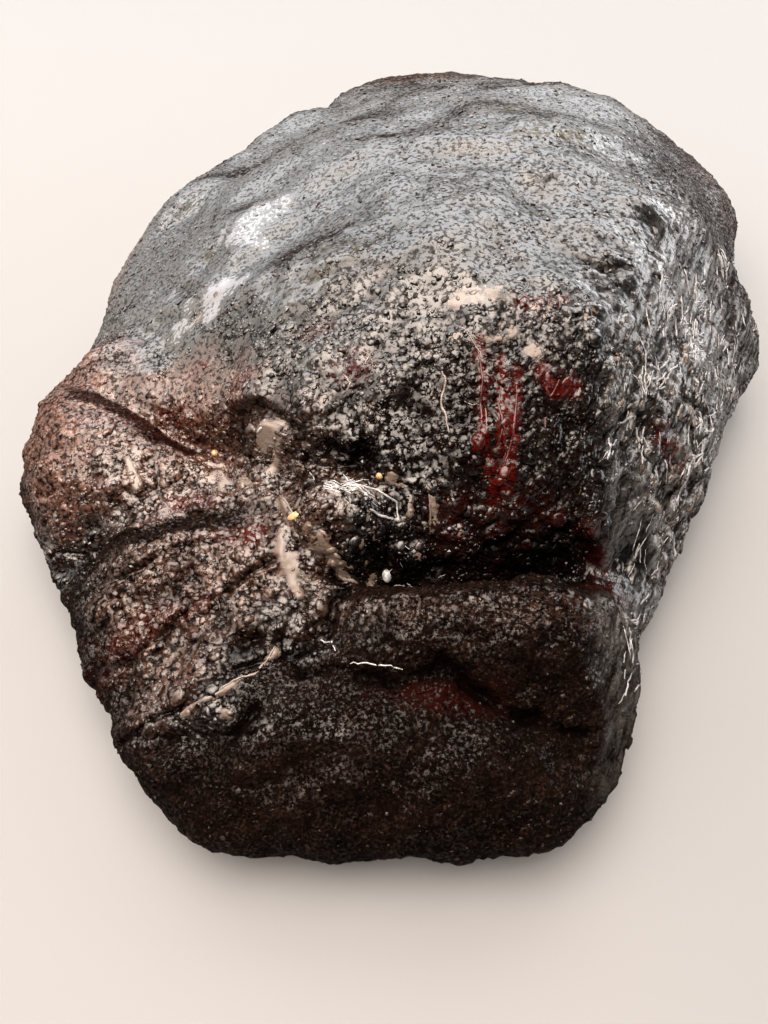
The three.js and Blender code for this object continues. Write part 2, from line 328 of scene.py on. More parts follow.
REDS = (
    Trail(((0.016, -0.225), (0.018, -0.257), (0.018, -0.283), (0.030, -0.310)), 1.1, 0.75),
    Trail(((0.035, -0.238), (0.036, -0.262), (0.035, -0.290)), 1.1, 0.75),
    Trail(((0.050, -0.246), (0.047, -0.270), (0.042, -0.295)), 1.0, 0.8),
    Trail(((0.072, -0.247), (0.086, -0.256), (0.102, -0.252)), 1.8, 0.8),
    Patch((0.038, -0.300), 2.4, 3.0, 0.0, 0.8),
    Patch((0.066, -0.200), 5.0, 2.5, 0.0, 0.6),
    Patch((0.091, -0.197), 5.0, 2.5, 0.0, 0.6),
    Patch((-0.135, -0.194), 6.0, 3.0, 0.0, 0.35),
    Patch((-0.107, -0.230), 7.0, 4.0, 0.0, 0.4),
    Patch((-0.271, -0.172), 5.0, 2.6, 0.0, 0.6),
    Patch((-0.216, -0.206), 4.0, 2.6, 0.0, 0.6),
    Patch((-0.300, -0.195), 7.0, 2.4, -10.0, 0.6),
    Patch((-0.269, -0.271), 8.0, 3.0, 0.0, 0.5),
    Patch((-0.204, -0.313), 9.0, 3.0, 0.0, 0.6),
    Patch((0.030, -0.315), 20.0, 5.0, 0.0, 0.12),
    Patch((0.133, -0.315), 5.0, 2.6, 0.0, 0.55),
    Patch((0.150, -0.335), 7.0, 4.0, 0.0, 0.18),
    Patch((-0.290, -0.215), 28.0, 8.0, -14.0, 0.16),
    Patch((-0.420, -0.200), 26.0, 30.0, 0.0, 0.08),
    Patch((-0.300, -0.375), 18.0, 4.0, 25.0, 0.20),
    Patch((-0.020, -0.424), 13.0, 4.0, 0.0, 0.16),
    Patch((0.320, -0.100), 4.0, 3.0, 0.0, 0.5),
    Patch((0.218, -0.242), 6.0, 3.6, 0.0, 0.4),
)
OLIVES = (
    Patch((0.077, 0.097), 6.0, 5.0, 0.0, 0.8),
    Patch((0.140, 0.035), 16.0, 6.0, 0.0, 0.7),
    Patch((0.089, 0.025), 5.0, 4.0, 0.0, 0.6),
    Patch((-0.127, -0.133), 16.0, 7.0, 20.0, 0.45),
    Patch((-0.277, -0.037), 6.0, 4.0, 0.0, 0.5),
)
LOOK_PARTS: dict[Look, tuple[Patch | Trail, ...]] = {
    Look.POOL: POOLS,
    Look.FILM: FILMS,
    Look.DRY: DRY_PARTS,
    Look.BROWN: BROWNS,
    Look.RED: REDS,
    Look.OLIVE: OLIVES,
}

# The paths of the folds, as shares of the width and the length
UNDER_HUMP = ((-0.12, -0.340), (-0.033, -0.334), (0.04, -0.325), (0.10, -0.322), (0.14, -0.316))
UNDER_LIP = (
    (-0.36, -0.178),
    (-0.31, -0.198),
    (-0.25, -0.221),
    (-0.21, -0.230),
    (-0.16, -0.255),
    (-0.06, -0.284),
)
UPPER_FOLD = ((-0.42, -0.278), (-0.314, -0.294), (-0.271, -0.287), (-0.21, -0.276))
MIDDLE_FOLD = ((-0.36, -0.387), (-0.30, -0.384), (-0.254, -0.362), (-0.219, -0.346), (-0.17, -0.328))
LOWER_FOLD = (
    (-0.30, -0.432),
    (-0.24, -0.417),
    (-0.185, -0.400),
    (-0.135, -0.389),
    (-0.121, -0.376),
    (-0.107, -0.350),
)
BROW_FOLD = (
    (-0.153, -0.404),
    (-0.058, -0.410),
    (-0.024, -0.412),
    (0.018, -0.424),
    (0.05, -0.432),
    (0.11, -0.436),
)
# Grooves in the bark
CREASES = (
    Crease(UNDER_HUMP, 3.0, 1.6),
    Crease(UNDER_LIP[2:], 1.6, 1.2),
    Crease(UPPER_FOLD, 1.4, 1.0),
    Crease(MIDDLE_FOLD, 1.6, 1.2),
    Crease(LOWER_FOLD, 1.8, 1.2),
    Crease(BROW_FOLD, 2.0, 1.3),
    Crease(((-0.27, -0.443), (-0.229, -0.438), (-0.201, -0.440), (-0.18, -0.428)), 1.6, 1.4),
    Crease(((0.13, -0.325), (0.155, -0.300), (0.165, -0.280)), 2.4, 1.4),
    Crease(((-0.17, -0.29), (-0.155, -0.317), (-0.12, -0.335)), 1.6, 1.2),
    Crease(((-0.165, -0.278), (-0.135, -0.272), (-0.105, -0.276), (-0.075, -0.282)), 2.2, 1.4),
    Crease(((-0.34, -0.335), (-0.29, -0.325), (-0.24, -0.315), (-0.20, -0.305)), 1.4, 1.0),
    Crease(((-0.098, -0.276), (-0.085, -0.275)), 3.4, 3.0),
    Crease(((-0.124, -0.378), (-0.118, -0.366), (-0.104, -0.355)), 3.4, 1.7),
    Crease(((-0.200, -0.388), (-0.188, -0.384)), 3.2, 2.6),
    Crease(((-0.235, -0.222), (-0.195, -0.236), (-0.178, -0.243), (-0.147, -0.259)), 2.8, 1.5),
    Crease(((0.120, -0.146), (0.150, -0.150), (0.173, -0.145)), 1.8, 1.6),
)
# Where the surface is raised by the depth, which fills the solid's folds up a little
FILLINGS = (
    Crease(((-0.125, -0.310), (-0.095, -0.306)), 2.4, 8.0),
    Crease(((-0.200, -0.252), (-0.192, -0.254)), 2.4, 4.5),
    Crease(((-0.135, -0.385), (-0.150, -0.372)), 1.6, 6.0),
    Crease(((-0.090, -0.368), (-0.070, -0.365)), 2.0, 7.0),
    Crease(UPPER_FOLD, 2.0, 5.0),
    Crease(MIDDLE_FOLD, 2.6, 5.5),
    Crease(LOWER_FOLD, 2.0, 4.5),
    Crease(UNDER_LIP[3:], 2.3, 5.0),
)


# How the bark changes along the length, with the height, and with the way that the surface faces
FRONT_FACE = Fade(-0.425, -0.45)  # share of the length
FOLDED = Fade(-0.14, -0.22)  # share of the length
RIM = Fade(12 * MM, 4 * MM)  # height
BROWN_RISE = Fade(18 * MM, 36 * MM)  # height
LEFT_FOOT = Fade(38 * MM, 20 * MM)  # height
FLANK_FOOT = Fade(8 * MM, 34 * MM)  # height
FLANK_SIDE = Fade(20 * MM, 45 * MM)  # towards the right
FLANK_END = Fade(50 * MM, 0.0)  # along the length
UNDERSIDE = Fade(0.0, -0.5)  # upward part of the normal
BACK_WALL = Fade(0.10, 0.48)  # far part of the normal
LEFT_WALL = Fade(-0.45, -0.80)  # rightward part of the normal
FLANK_SLOPE = Fade(0.40, 0.62)  # rightward part of the normal
TOO_DRY = Fade(0.3, 0.8)  # strength of the dry look
FILLED = Fade(-0.4 * MM, 0.4 * MM)  # how far the fat stands over the bark
POOLED = Fade(-0.5 * MM, 0.8 * MM)  # how far the fat stands over the bark
DROWNED = Fade(0.1 * MM, 1.2 * MM)  # how far the fat stands over the bark
SUNKEN = Fade(0.2 * MM, -1.2 * MM)  # how far the bark stands out


@dataclass
class Relief:
    """What the bark's surface does at each point of the meat: its lumps, its creases and its film of fat.

    Attributes:
        plan: The brisket's size.
        swells: The broad swellings.
        folds: The swellings between them, stronger where the meat is folded.
        lumps: The lumps of the bark.
        nodules: The large rounded lumps of the folds.
        pebbles: The small rounded lumps.
        grains: The grains between those.
        streaks: The streaks on the steep flank.
        wobbles: What makes the edges of the looks uneven.
        sideways: How creases waver from side to side.
        lengthways: And along the length.
        open_gap: How low the fat lies where the bark is least wet.
        pool_rise: How high it stands in a pool.
        looks: Each look's strength at each point, once it has been read.
    """

    plan: Plan
    swells: Ripple = Ripple(30 * MM, 1.0, 1.5 * MM)
    folds: Ripple = Ripple(14 * MM, 5.0, 1.5 * MM)
    lumps: Ripple = Ripple(7.5 * MM, 9.0, 1.1 * MM)
    nodules: Domes = Domes(8 * MM, 2.0, 1.5 * MM, 0.6)
    pebbles: Domes = Domes(3.1 * MM, 0.0, 0.75 * MM, 0.6)
    grains: Domes = Domes(2.1 * MM, 4.0, 0.55 * MM, 0.5)
    streaks: Ripple = Ripple(3.4 * MM, 5.0, 1.3 * MM)
    wobbles: tuple[Ripple, ...] = (Ripple(9 * MM, 3.1), Ripple(4 * MM, 7.7, 0.6))
    sideways: tuple[Ripple, ...] = (Ripple(10 * MM, 8.0, 1.6 * MM),)
    lengthways: tuple[Ripple, ...] = (Ripple(12 * MM, 6.0, 2.6 * MM), Ripple(5 * MM, 3.0, 0.9 * MM))
    open_gap: float = -2.0 * MM
    pool_rise: float = 0.5 * MM
    looks: dict[Look, Field] = field(default_factory=dict)

    @staticmethod
    def total(ripples: Iterable[Ripple], points: Field) -> Field:
        """The sum of some ripples at each point."""
        return np.sum([ripple.over(points) for ripple in ripples], axis=0)

    def read_looks(self, points: Field, normals: Field) -> None:
        """Works out each look's strength at each point.

        Args:
            points: One row for each point.
            normals: The surface's direction at each point.
        """
        wobble = self.total(self.wobbles, points)
        for look, parts in LOOK_PARTS.items():
            self.looks[look] = np.max([part.mask(points, self.plan, wobble) for part in parts], axis=0)
        tall = points[:, 2]
        front = FRONT_FACE.of(points[:, 1] / self.plan.length + 0.012 * wobble)
        rim = RIM.of(tall)
        facing_down = UNDERSIDE.of(normals[:, 2])
        back = BACK_WALL.of(normals[:, 1] + 0.08 * wobble)
        left = LEFT_WALL.of(normals[:, 0]) * LEFT_FOOT.of(tall)
        walls = 0.84 * np.maximum(back, left)
        dry = np.maximum.reduce([self.looks[Look.DRY], 0.9 * front, 0.8 * rim, facing_down, walls])
        self.looks[Look.DRY] = dry
        self.looks[Look.BROWN] *= BROWN_RISE.of(tall + 7 * MM * wobble) * (1.0 - 0.85 * back)
        self.looks[Look.POOL] *= 1.0 - np.maximum(rim, facing_down)
        self.looks[Look.FILM] *= (1.0 - dry) * (1.0 - back)
        flank = FLANK_SLOPE.of(normals[:, 0]) * FLANK_SIDE.of(points[:, 0]) * FLANK_END.of(points[:, 1])
        self.looks[Look.STREAK] = flank * (0.30 + 0.70 * FLANK_FOOT.of(tall))

    def height(self, points: Field, normals: Field) -> Field:
        """How far the surface stands out from the plain solid at each point.

        Args:
            points: One row for each point.
            normals: The surface's direction at each point.

        Returns:
            One height for each point, and the looks are kept in looks.
        """
        self.read_looks(points, normals)
        dry = self.looks[Look.DRY]
        folded = FOLDED.of(points[:, 1] / self.plan.length)
        broad = self.swells.over(points) + (0.6 + 0.7 * folded) * self.folds.over(points)
        broad += self.groove_depth(points, FILLINGS, 0.0)
        lumps = (1.0 + 0.3 * folded) * self.lumps.over(points) + folded * self.nodules.over(points)
        lumps += self.looks[Look.STREAK] * self.streaks.over(stretched(points, STREAK_WAY, 0.2))
        rough = (1.0 - 0.45 * dry) * (lumps + self.pebbles.over(points)) + self.grains.over(points)
        rough *= 1.0 - 0.6 * self.looks[Look.FILM]
        level = self.open_gap + (self.pool_rise - self.open_gap) * self.looks[Look.POOL]
        wet = 1.0 - TOO_DRY.of(dry)
        filled = wet * FILLED.of(level - rough)
        self.looks[Look.POOL] = wet * POOLED.of(level - rough)
        surface = rough + filled * (level - rough)
        creases = self.groove_depth(points, CREASES)
        # Creases and bark sunken under the fat are marked for painted shade
        low = DROWNED.of(level - surface) + SUNKEN.of(surface)
        self.looks[Look.HOLLOW_SHADE] = np.clip(0.7 * low + creases / (2.0 * MM), 0.0, 1.0) * (1.0 - filled)
        return broad + surface - creases

    def groove_depth(self, points: Field, creases: Iterable[Crease], broken: float = 1.1) -> Field:
        """How deep the wavering creases cut at each point.

        Args:
            points: One row for each point.
            creases: The creases.
            broken: How unevenly deep they are.

        Returns:
            One depth for each point.
        """
        waver = points.copy()
        waver[:, 0] += self.total(self.sideways, points)
        waver[:, 1] += self.total(self.lengthways, points)
        uneven = np.clip(1.0 - 0.12 * broken + Ripple(8 * MM, 12.0, broken).over(points), 0.15, 1.3)
        depth = np.zeros(len(points))
        for crease in creases:
            path = [self.plan.place(share) for share in crease.path]
            away = distance_to_path(waver, path) / (crease.half * MM)
            depth = np.maximum(depth, crease.depth * MM * np.exp(-(away**2)))
        return depth * uneven


class Value:
    """A number in a shader. Python's operators on it add Math nodes."""

    def __init__(self, graph: "Graph", socket: bpy.types.NodeSocket) -> None:
        """Wraps an output socket of a graph's node."""
        self.graph = graph
        self.socket = socket

    def _math(self, operation: str, first: Any, second: Any = None) -> "Value":
        """Adds a Math node.

        Args:
            operation: The node's operation.
            first: A Value or a number.
            second: A Value, a number, or None for an operation on one number.

        Returns:
            The node's result.
        """
        inputs = {0: first} if second is None else {0: first, 1: second}
        node = self.graph.node("ShaderNodeMath", {"operation": operation}, inputs)
        return Value(self.graph, node.outputs[0])

    def __add__(self, other: Any) -> "Value":
        """self + other."""
        return self._math("ADD", self, other)

    def __radd__(self, other: Any) -> "Value":
        """other + self."""
        return self._math("ADD", other, self)

    def __sub__(self, other: Any) -> "Value":
        """self - other."""
        return self._math("SUBTRACT", self, other)

    def __rsub__(self, other: Any) -> "Value":
        """other - self."""
        return self._math("SUBTRACT", other, self)

    def __mul__(self, other: Any) -> "Value":
        """self * other."""
        return self._math("MULTIPLY", self, other)

    def __rmul__(self, other: Any) -> "Value":
        """other * self."""
        return self._math("MULTIPLY", other, self)

    def maximum(self, other: Any) -> "Value":
        """The larger of the two."""
        return self._math("MAXIMUM", self, other)

    def minimum(self, other: Any) -> "Value":
        """The smaller of the two."""
        return self._math("MINIMUM", self, other)

    def ramp(self, low: float, high: float) -> "Value":
        """Rises smoothly from 0 where this is low to 1 where it is high."""
        settings = {"interpolation_type": "SMOOTHSTEP"}
        inputs = {"Value": self, "From Min": low, "From Max": high, "To Min": 0.0, "To Max": 1.0}
        node = self.graph.node("ShaderNodeMapRange", settings, inputs)
        return Value(self.graph, node.outputs["Result"])


class Graph:
    """A material and the nodes in it."""

    def __init__(self, name: str) -> None:
        """Makes an empty material with an output."""
        self.material = bpy.data.materials.new(name)
        self.material.use_nodes = True
        self.tree = self.material.node_tree
        self.tree.nodes.clear()
        self.output = self.tree.nodes.new("ShaderNodeOutputMaterial")
        self.place = self.node("ShaderNodeTexCoord").outputs["Object"]

    def node(
        self,
        kind: str,
        settings: dict[str, Any] | None = None,
        inputs: dict[Any, Any] | None = None,
    ) -> bpy.types.Node:
        """Adds any node.

        Args:
            kind: The node's type.
            settings: Its settings, which are set first.
            inputs: Its sockets' values, or what links to them.

        Returns:
            The node.
        """
        node = self.tree.nodes.new(kind)
        for name, value in (settings or {}).items():
            setattr(node, name, value)
        for key, value in (inputs or {}).items():
            source = value.socket if isinstance(value, Value) else value
            if isinstance(source, bpy.types.NodeSocket):
                self.tree.links.new(source, node.inputs[key])
            else:
                node.inputs[key].default_value = source
        return node

    def attribute(self, name: str) -> Value:
        """Reads a number that the mesh carries."""
        node = self.node("ShaderNodeAttribute", {"attribute_name": name})
        return Value(self, node.outputs["Fac"])

    def stretched(self, way: Triple, share: float) -> bpy.types.NodeSocket:
        """Squeezes the place along a direction, so that noise runs along it in streaks.

        Args:
            way: The direction, of length 1.
            share: How long the place's part along it is left.

        Returns:
            The squeezed place.
        """
        dot = self.node("ShaderNodeVectorMath", {"operation": "DOT_PRODUCT"}, {0: self.place, 1: way})
        reach = Value(self, dot.outputs["Value"]) * (share - 1.0)
        part = self.node("ShaderNodeVectorMath", {"operation": "SCALE"}, {0: way, "Scale": reach})
        ends = {0: self.place, 1: part.outputs[0]}
        return self.node("ShaderNodeVectorMath", {"operation": "ADD"}, ends).outputs[0]

    def noise(
        self,
        wavelength: float,
        detail: float = 2.0,
        roughness: float = 0.5,
        place: bpy.types.NodeSocket | None = None,
    ) -> Value:
        """Adds noise from 0 to 1.

        Args:
            wavelength: The length over which it changes.
            detail: How many finer layers it has.
            roughness: How strong each finer layer is.
            place: Where it is read, if not at the place itself.

        Returns:
            The noise.
        """
        inputs = {"Vector": place or self.place, "Scale": 1.0 / wavelength, "Detail": detail}
        node = self.node("ShaderNodeTexNoise", None, inputs | {"Roughness": roughness})
        return Value(self, node.outputs["Fac"])

    def domes(self, wavelength: float) -> Value:
        """Rounded lumps a wavelength apart, from 0 between them to 1 on top."""
        inputs = {"Vector": self.place, "Scale": 1.0 / wavelength, "Randomness": 1.0}
        node = self.node("ShaderNodeTexVoronoi", {"feature": "F1"}, inputs)
        distance = Value(self, node.outputs["Distance"]) * 1.2
        return (1.0 - distance * distance).maximum(0.0)

    def mix(self, share: Any, first: Any, second: Any) -> bpy.types.NodeSocket:
        """Mixes two colours, where a colour is three numbers or a socket."""
        ends = [(*c, 1.0) if isinstance(c, tuple) else c for c in (first, second)]
        inputs = {0: share, 6: ends[0], 7: ends[1]}
        node = self.node("ShaderNodeMix", {"data_type": "RGBA"}, inputs)
        return node.outputs[2]

    def bump(self, height: Value, distance: float) -> bpy.types.NodeSocket:
        """Turns a height from 0 to 1 into a normal, where distance is the height of 1 in metres."""
        inputs = {"Height": height, "Distance": distance, "Strength": 1.0}
        return self.node("ShaderNodeBump", None, inputs).outputs["Normal"]

    def finish(self, inputs: dict[str, Any]) -> bpy.types.Material:
        """Adds the Principled shader with these sockets and returns the material."""
        shader = self.node("ShaderNodeBsdfPrincipled", None, inputs)
        self.tree.links.new(shader.outputs[0], self.output.inputs["Surface"])
        return self.material


@dataclass(frozen=True)
class Finish:
    """What every finish has: a name, and a material that is built once."""

    name: str

    def material(self) -> bpy.types.Material:
        """The finish's material."""
        return bpy.data.materials.get(self.name) or self.build()

    def build(self) -> bpy.types.Material:
        """Builds the material."""
        raise NotImplementedError


class BarkGraph(Graph):
    """The bark's nodes: the meat's looks, the patterns on it, and how high bark and fat stand.

    Attributes:
        film: Where a film of fat covers the bark.
        pool: Where the fat stands in a pool.
        dry: Where the bark is dry.
        flank: Where fat runs in streaks, whose pale colour is partly painted highlight.
        hollow_shade: How deep in a crease or hollow the surface is, where the colour is darkened as painted
            shade.
        fine: Fine grain all over.
        speck: Specks a few grains wide.
        streaks: The streaks of the flank.
        grit: The grit of dry bark.
        sheet: How high the bark stands.
        level: How high the fat stands.
        cover: Where the fat stands over the bark.
        top: The tops of the bark, and the fat.
        gaps: The gaps between the tops.
    """

    def __init__(self, name: str) -> None:
        """Reads the looks and adds the patterns."""
        super().__init__(name)
        self.film = self.look(Look.FILM)
        self.pool = self.look(Look.POOL)
        self.dry = self.look(Look.DRY)
        self.flank = self.look(Look.STREAK)
        self.hollow_shade = self.look(Look.HOLLOW_SHADE) * (1.0 - self.film * 0.5)
        self.fine = self.noise(1.1 * MM, 3.0, 0.65)
        self.speck = self.noise(2.2 * MM, 1.0).ramp(0.45, 0.62)
        self.streaks = self.noise(1.7 * MM, 2.0, 0.6, self.stretched(STREAK_WAY, 0.16)).ramp(0.30, 0.70)
        self.grit = self.noise(0.80 * MM, 3.0, 0.7).ramp(0.22, 0.86)
        lumps = self.lumps()
        self.sheet = lumps.minimum(1.0 - self.film * 0.30 + self.fine * 0.25)
        self.level = self.fat_level()
        self.cover = (self.level - self.sheet).ramp(-0.04, 0.08)
        self.top = (lumps + self.film * 0.10).ramp(0.42, 0.67).maximum(self.cover)
        self.gaps = (1.0 - self.top) * (1.0 - self.film * 0.40)

    def look(self, look: Look) -> Value:
        """How strong a look is."""
        return self.attribute(look.value)

    def lumps(self) -> Value:
        """The bark's small lumps: streaks on the flank, sand under the film, and grit where it is dry."""
        lumps = self.domes(1.6 * MM) * 0.44 + self.domes(0.9 * MM) * 0.28 + self.fine * 0.28
        lumps = lumps + self.flank * (self.streaks - lumps) * 0.75
        sand = self.noise(1.25 * MM, 3.0, 0.6).ramp(0.30, 0.66)
        lumps = lumps + (sand - lumps) * self.film * 0.7
        return lumps + (self.grit - lumps) * self.dry * 0.8

    def fat_level(self) -> Value:
        """How high the fat stands: in the pools, and where it has soaked in between the lumps."""
        open_part = (1.0 - self.dry) * (1.0 - self.film) * (1.0 - self.hollow_shade)
        soak = self.noise(7 * MM, 2.0).ramp(0.43, 0.58) * open_part
        return (self.pool * 0.85).maximum(soak * 0.45) + self.fine * 0.06

    def normal(self) -> bpy.types.NodeSocket:
        """The normal of bark and fat together."""
        tooth = self.noise(0.55 * MM, 2.0, 0.6) * 0.09
        return self.bump(self.sheet.maximum(self.level) + tooth, 1.30 * MM)


@dataclass(frozen=True)
class BarkFinish(Finish):
    """The meat's bark: black-brown lumps over red-brown gaps, under a wet film that turns to pools.

    Attributes:
        soot: The bark at its blackest.
        brown: And at its brownest.
        gap: The gaps between lumps: maroon of juice, and darker there as painted shade.
        dry: Dry bark.
        tan: The red-brown bark of the left shoulder and the far rim.
        hollow_shade: The painted shade at the bottom of a crease or hollow, near black.
        red: Red juice.
        juice: Fat with juice in it, in the near pools, lightened to tan partly as painted reflection of the
            pools.
        milk_and_sheen: Clouded fat in the pools of the film, bluish grey partly as painted sheen.
        olive: Spots of herb.
        tallow_and_glint: The streaks of fat, pale grey partly as painted highlight of the wet flank's glints.
    """

    soot: Colour = (0.0009, 0.0006, 0.0005)
    brown: Colour = (0.0040, 0.0018, 0.0011)
    gap: Colour = (0.0030, 0.0008, 0.0005)
    dry: Colour = (0.028, 0.0136, 0.0088)
    tan: Colour = (0.130, 0.062, 0.040)
    # Near black, painted shade in creases and hollows
    hollow_shade: Colour = (0.0008, 0.0003, 0.0002)
    red: Colour = (0.052, 0.0022, 0.0008)
    juice: Colour = (0.105, 0.078, 0.062)
    milk_and_sheen: Colour = (0.126, 0.132, 0.150)
    olive: Colour = (0.042, 0.032, 0.006)
    tallow_and_glint: Colour = (0.110, 0.104, 0.098)

    def build(self) -> bpy.types.Material:
        """Builds the material."""
        graph = BarkGraph(self.name)
        olive = graph.look(Look.OLIVE) * graph.speck
        return graph.finish(
            {
                "Base Color": self.colour(graph, olive),
                "Roughness": graph.fine * 0.12 + graph.dry * 0.30 + 0.30,
                "Coat Weight": self.wetness(graph, olive),
                "Coat Roughness": 0.24,
                "Coat IOR": 1.7,
                "IOR": 1.06,
                "Normal": graph.normal(),
            }
        )

    def colour(self, graph: BarkGraph, olive: Value) -> bpy.types.NodeSocket:
        """Lays the colours over each other.

        Args:
            graph: The bark's nodes.
            olive: Where the spots of herb are.

        Returns:
            The colour.
        """
        blotch = graph.noise(11 * MM, 1.0).ramp(0.38, 0.66)
        maroon = graph.noise(6 * MM, 2.0).ramp(0.42, 0.60)
        open_gaps = graph.gaps * (1.0 - graph.film) * (1.0 - graph.dry)
        # Cloudy fat, lightened partly as painted reflection and sheen of the wet pools and film
        fat = graph.mix(graph.film.ramp(0.48, 0.62), self.juice, self.milk_and_sheen)
        colour = graph.mix(blotch * 0.7, self.soot, self.brown)
        for share, layer in (
            # Maroon juice in the gaps between lumps, a little darker as painted shade
            (open_gaps * (maroon * 0.85 + 0.15), self.gap),
            (graph.dry * graph.grit * graph.grit * (graph.speck * 0.8 + 0.6), self.dry),
            (graph.look(Look.BROWN) * (graph.top * 0.6 + graph.speck * 0.4), self.tan),
            (graph.look(Look.RED) * (1.30 - graph.top), self.red),
            (olive, self.olive),
            # Pale grey streaks on the flank: runs of fat, lightened as painted highlight of their glints
            (graph.flank * graph.streaks * 0.55, self.tallow_and_glint),
            # Fat over the bark, its light colour partly painted reflection
            (graph.cover * 0.9, fat),
            # Painted shade darkens creases and hollows
            (graph.hollow_shade * 0.9, self.hollow_shade),
        ):
            colour = graph.mix(share, colour, layer)
        return colour

    def wetness(self, graph: BarkGraph, olive: Value) -> Value:
        """How wet the surface is: least on herb and where the bark is dry. The coat is also taken away in the
        gaps and hollows as painted shade on its reflection.

        Args:
            graph: The bark's nodes.
            olive: Where the spots of herb are.

        Returns:
            The weight of the coat.
        """
        # Less coat in gaps and hollows: painted shade on the reflection
        open_part = (1.0 - graph.gaps) * (1.0 - graph.hollow_shade * 0.85)
        near_fat = graph.cover * (1.0 - graph.film)
        return (1.0 - graph.dry * 0.92) * open_part * (1.0 - near_fat * 0.35) * (1.0 - olive * 0.85)


@dataclass(frozen=True)
class GrainFinish(Finish):
    """Small dark grains, each with its own tone, wet or dry.

    Attributes:
        dark: The darkest tone.
        light: The lightest.
        roughness: Under the coat, where it is wet.
        coat: How wet it is where it isn't dry.
    """

    dark: Colour
    light: Colour
    roughness: float
    coat: float

    def build(self) -> bpy.types.Material:
        """Builds the material."""
        graph = Graph(self.name)
        tone = graph.attribute(TONE)
        dry = graph.attribute(Look.DRY.value)
        fine = graph.noise(0.45 * MM, 2.0, 0.6)
        colour = graph.mix(tone, self.dark, self.light)
        return graph.finish(
            {
                "Base Color": graph.mix(fine.ramp(0.35, 0.8) * 0.5, colour, self.dark),
                "Roughness": dry * 0.3 + fine * 0.15 + (self.roughness - 0.07),
                "Coat Weight": (1.0 - dry) * self.coat,
                "Coat Roughness": 0.08,
                "Coat IOR": 1.6,
                "IOR": 1.33,
                "Normal": graph.bump(fine, 0.10 * MM),
            }
        )


@dataclass(frozen=True)
class GlossFinish(Finish):
    """A smooth wet blob of fat or juice, of one colour, a little cloudy.

    Attributes:
        colour: Its colour.
        cloud: The colour of the cloudy parts.
        roughness: Under the coat.
        coat: How wet it is.
    """

    colour: Colour
    cloud: Colour
    roughness: float
    coat: float = 0.6

    def build(self) -> bpy.types.Material:
        """Builds the material."""
        graph = Graph(self.name)
        cloud = graph.noise(1.5 * MM, 2.0).ramp(0.35, 0.7)
        return graph.finish(
            {
                "Base Color": graph.mix(cloud, self.colour, self.cloud),
                "Roughness": self.roughness + 0.05 * cloud,
                "Coat Weight": self.coat,
                "Coat Roughness": 0.05,
                "IOR": 1.46,
                "Normal": graph.bump(cloud, 0.1 * MM),
            }
        )


@dataclass(frozen=True)
class FloorFinish(Finish):
    """The plain pale floor."""

    colour: Colour = (0.145, 0.149, 0.153)

    def build(self) -> bpy.types.Material:
        """Builds the material."""
        graph = Graph(self.name)
        return graph.finish({"Base Color": (*self.colour, 1.0), "Roughness": 0.6})


def add_object(name: str, mesh: bpy.types.Mesh, material: bpy.types.Material) -> bpy.types.Object:
    """Puts a mesh in the scene at the origin.

    Args:
        name: The piece's name.
        mesh: Its mesh.
        material: Its finish.

    Returns:
        The object.
    """
    piece = bpy.data.objects.new(name, mesh)
    mesh.materials.clear()
    mesh.materials.append(material)
    bpy.context.scene.collection.objects.link(piece)
    return piece


def vertex_array(mesh: bpy.types.Mesh, name: str = "co") -> Field:
    """The places or the normals of a mesh's vertices, one row each."""
    values = np.empty(3 * len(mesh.vertices))
    mesh.vertices.foreach_get(name, values)
    return values.reshape(-1, 3)


def set_attribute(mesh: bpy.types.Mesh, name: str, values: Field) -> None:
    """Gives each vertex of a mesh a number."""
    mesh.attributes.new(name, "FLOAT", "POINT").data.foreach_set("value", values.astype(np.float32))


